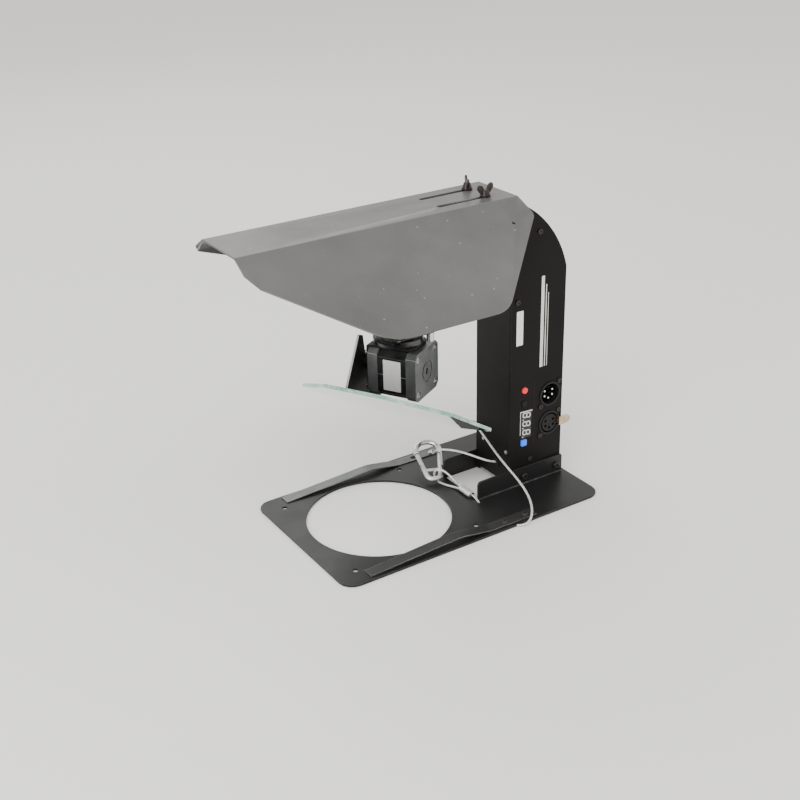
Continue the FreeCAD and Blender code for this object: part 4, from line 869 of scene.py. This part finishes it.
def make_labels():
    """Blank label, plain stripes, the display's two rules and the seam beside the buttons."""
    low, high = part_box("blank_label")
    inset_x, inset_z = 0.8, 2
    label = rectangle(low.x / MM + inset_x, high.x / MM - inset_x, low.z / MM + inset_z,
                      high.z / MM - inset_z, 0.8, 3)
    thin("serial_label", label, cover_place(0.05), PAPER, "stand", hides=["blank_label"])
    stripe_foot = 112.0
    stripes = [(153.4, 156.6, 196.0), (158.2, 159.2, 188.0), (160.8, 161.4, 180.0)]
    for k, (x0, x1, top) in enumerate(stripes):
        stripe = rectangle(x0, x1, stripe_foot, top, 0.2, 3)
        thin("plain_stripe_%d" % k, stripe, cover_place(), PRINT, "stand")
    rule = rectangle(133.3, 133.9, 50.5, 72.7, 0.1, 3)
    thin("display_rule", rule, cover_place(), PRINT, "stand")
    corners = [(133.1, 72.9), (146.7, 72.0), (146.7, 73.0), (133.1, 73.9)]
    bracket = rounded([(x, z, 0.2) for x, z in corners], 3)
    thin("display_bracket", bracket, cover_place(), PRINT, "stand")
    seam = rectangle(148.0, 148.5, 38.0, 99.0, 0.1, 3)
    thin("cover_seam", seam, cover_place(0.03), BLACK_PLASTIC, "stand", 0.06)


DIGIT_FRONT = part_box("display_module")[0].y / MM
DIGIT_BASE, DIGIT_TOP = 136.3, 145.1       # X of the digits' feet and heads
DIGIT_WIDE, DIGIT_PITCH, DIGIT_FIRST = 5.2, 8.5, 71.6
DIGIT_LEAN = 0.12                           # Z per X
SEGMENT_T = 1.05
SEGMENT_GAP = 0.1
POINT_R, POINT_GAP = 0.6, 1.35


def bar(a, b):
    """Six-sided segment from point a to point b."""
    way = (b - a).normalized()
    across = Vector((-way.y, way.x)) * SEGMENT_T / 2
    tip = way * SEGMENT_T / 2
    return [a, a + tip + across, b - tip + across, b, b - tip - across, a + tip - across]


def make_display():
    """Three unlit eights and their points, reading down the column."""
    loops = []
    half, gap = SEGMENT_T / 2, SEGMENT_GAP
    feet, middle, heads = DIGIT_BASE + half, (DIGIT_BASE + DIGIT_TOP) / 2, DIGIT_TOP - half
    for k in range(3):
        z0 = DIGIT_FIRST - DIGIT_PITCH * k
        z1 = z0 - DIGIT_WIDE
        for x in (feet, middle, heads):
            lean = DIGIT_LEAN * (middle - x)
            a = Vector((x, z0 - half + lean - gap))
            b = Vector((x, z1 + half + lean + gap))
            loops.append(bar(a, b))
        for z in (z0 - half, z1 + half):
            for x0, x1 in ((feet, middle), (middle, heads)):
                a = Vector((x0 + gap, z + DIGIT_LEAN * (middle - x0)))
                b = Vector((x1 - gap, z + DIGIT_LEAN * (middle - x1)))
                loops.append(bar(a, b))
        loops.append(circle(feet, z1 - POINT_GAP, POINT_R, 16))
    place = upright(DIGIT_FRONT - 0.05)
    for k, loop in enumerate(loops):
        thin("segment_%02d" % k, loop, place, SEGMENT, "stand")


def motor_side(y):
    """Plane across the yoke's y at y millimetres, seen from outside the tilt motor."""
    return YOKE @ facing((0, y * MM, 0), (-1, 0, 0), (0, 0, 1))


def make_motor_label():
    """Label on the tilt motor's side, and the pale seam across the stator under it."""
    motor_face, stator_step = 42.3, 0.7
    label_y = (motor_face - stator_step) / 2 + 0.08
    label = rectangle(-9.1, 6.9, -13.5, 13.5, 0.6, 3)
    place = motor_side(label_y)
    thin("motor_label", label, place, PAPER, "yoke", 0.12, ["tilt_motor_label"])
    seam = rectangle(-13.5, 11.5, -0.3, 0.3, 0.1)
    thin("motor_seam", seam, motor_side(label_y - 0.04), CAST, "yoke", 0.08)


make_labels()
make_display()
make_motor_label()


# ---------------------------------------------------------------- floor, light and sizes
def area_light(name, place, target, size, power):
    """Soft rectangular light of that size in metres and power in watts, aimed at the target."""
    data = bpy.data.lights.new(name, "AREA")
    data.shape = "RECTANGLE"
    data.size, data.size_y = size
    data.energy = power
    light = bpy.data.objects.new(name, data)
    bpy.context.scene.collection.objects.link(light)
    way = Vector(target) - Vector(place)
    turn = way.to_track_quat("-Z", "Y").to_matrix().to_4x4()
    light.matrix_world = Matrix.Translation(place) @ turn


def make_stage():
    """Plain pale floor, an even pale surround and four soft lights."""
    mesh = bpy.data.meshes.new("floor")
    half = 8.0
    corners = [(-half, -half, 0), (half, -half, 0), (half, half, 0), (-half, half, 0)]
    mesh.from_pydata(corners, [], [(0, 1, 2, 3)])
    floor = bpy.data.objects.new("floor", mesh)
    bpy.context.scene.collection.objects.link(floor)
    pale = Shader("floor_pale", (0.86, 0.85, 0.83), 0.0, 0.6)
    pale.rough(pale.noise(6, 3), 0.55, 0.65)
    floor.data.materials.append(pale.material)
    world = bpy.data.worlds.new("studio")
    bpy.context.scene.world = world
    world.use_nodes = True
    background = world.node_tree.nodes["Background"]
    background.inputs["Color"].default_value = (1.0, 0.99, 0.97, 1)
    background.inputs["Strength"].default_value = 1.15
    area_light("key", (-0.9, -0.9, 1.9), (0.03, 0, 0.1), (1.4, 1.4), 26)
    area_light("fill", (1.4, -1.2, 1.2), (0.03, 0, 0.1), (1.2, 1.2), 6)
    area_light("left", (-1.3, -0.5, 0.55), (0.03, 0, 0.15), (0.9, 0.7), 9)
    area_light("back", (0.2, 1.6, 1.4), (0.03, 0, 0.15), (1.4, 0.9), 10)


make_stage()
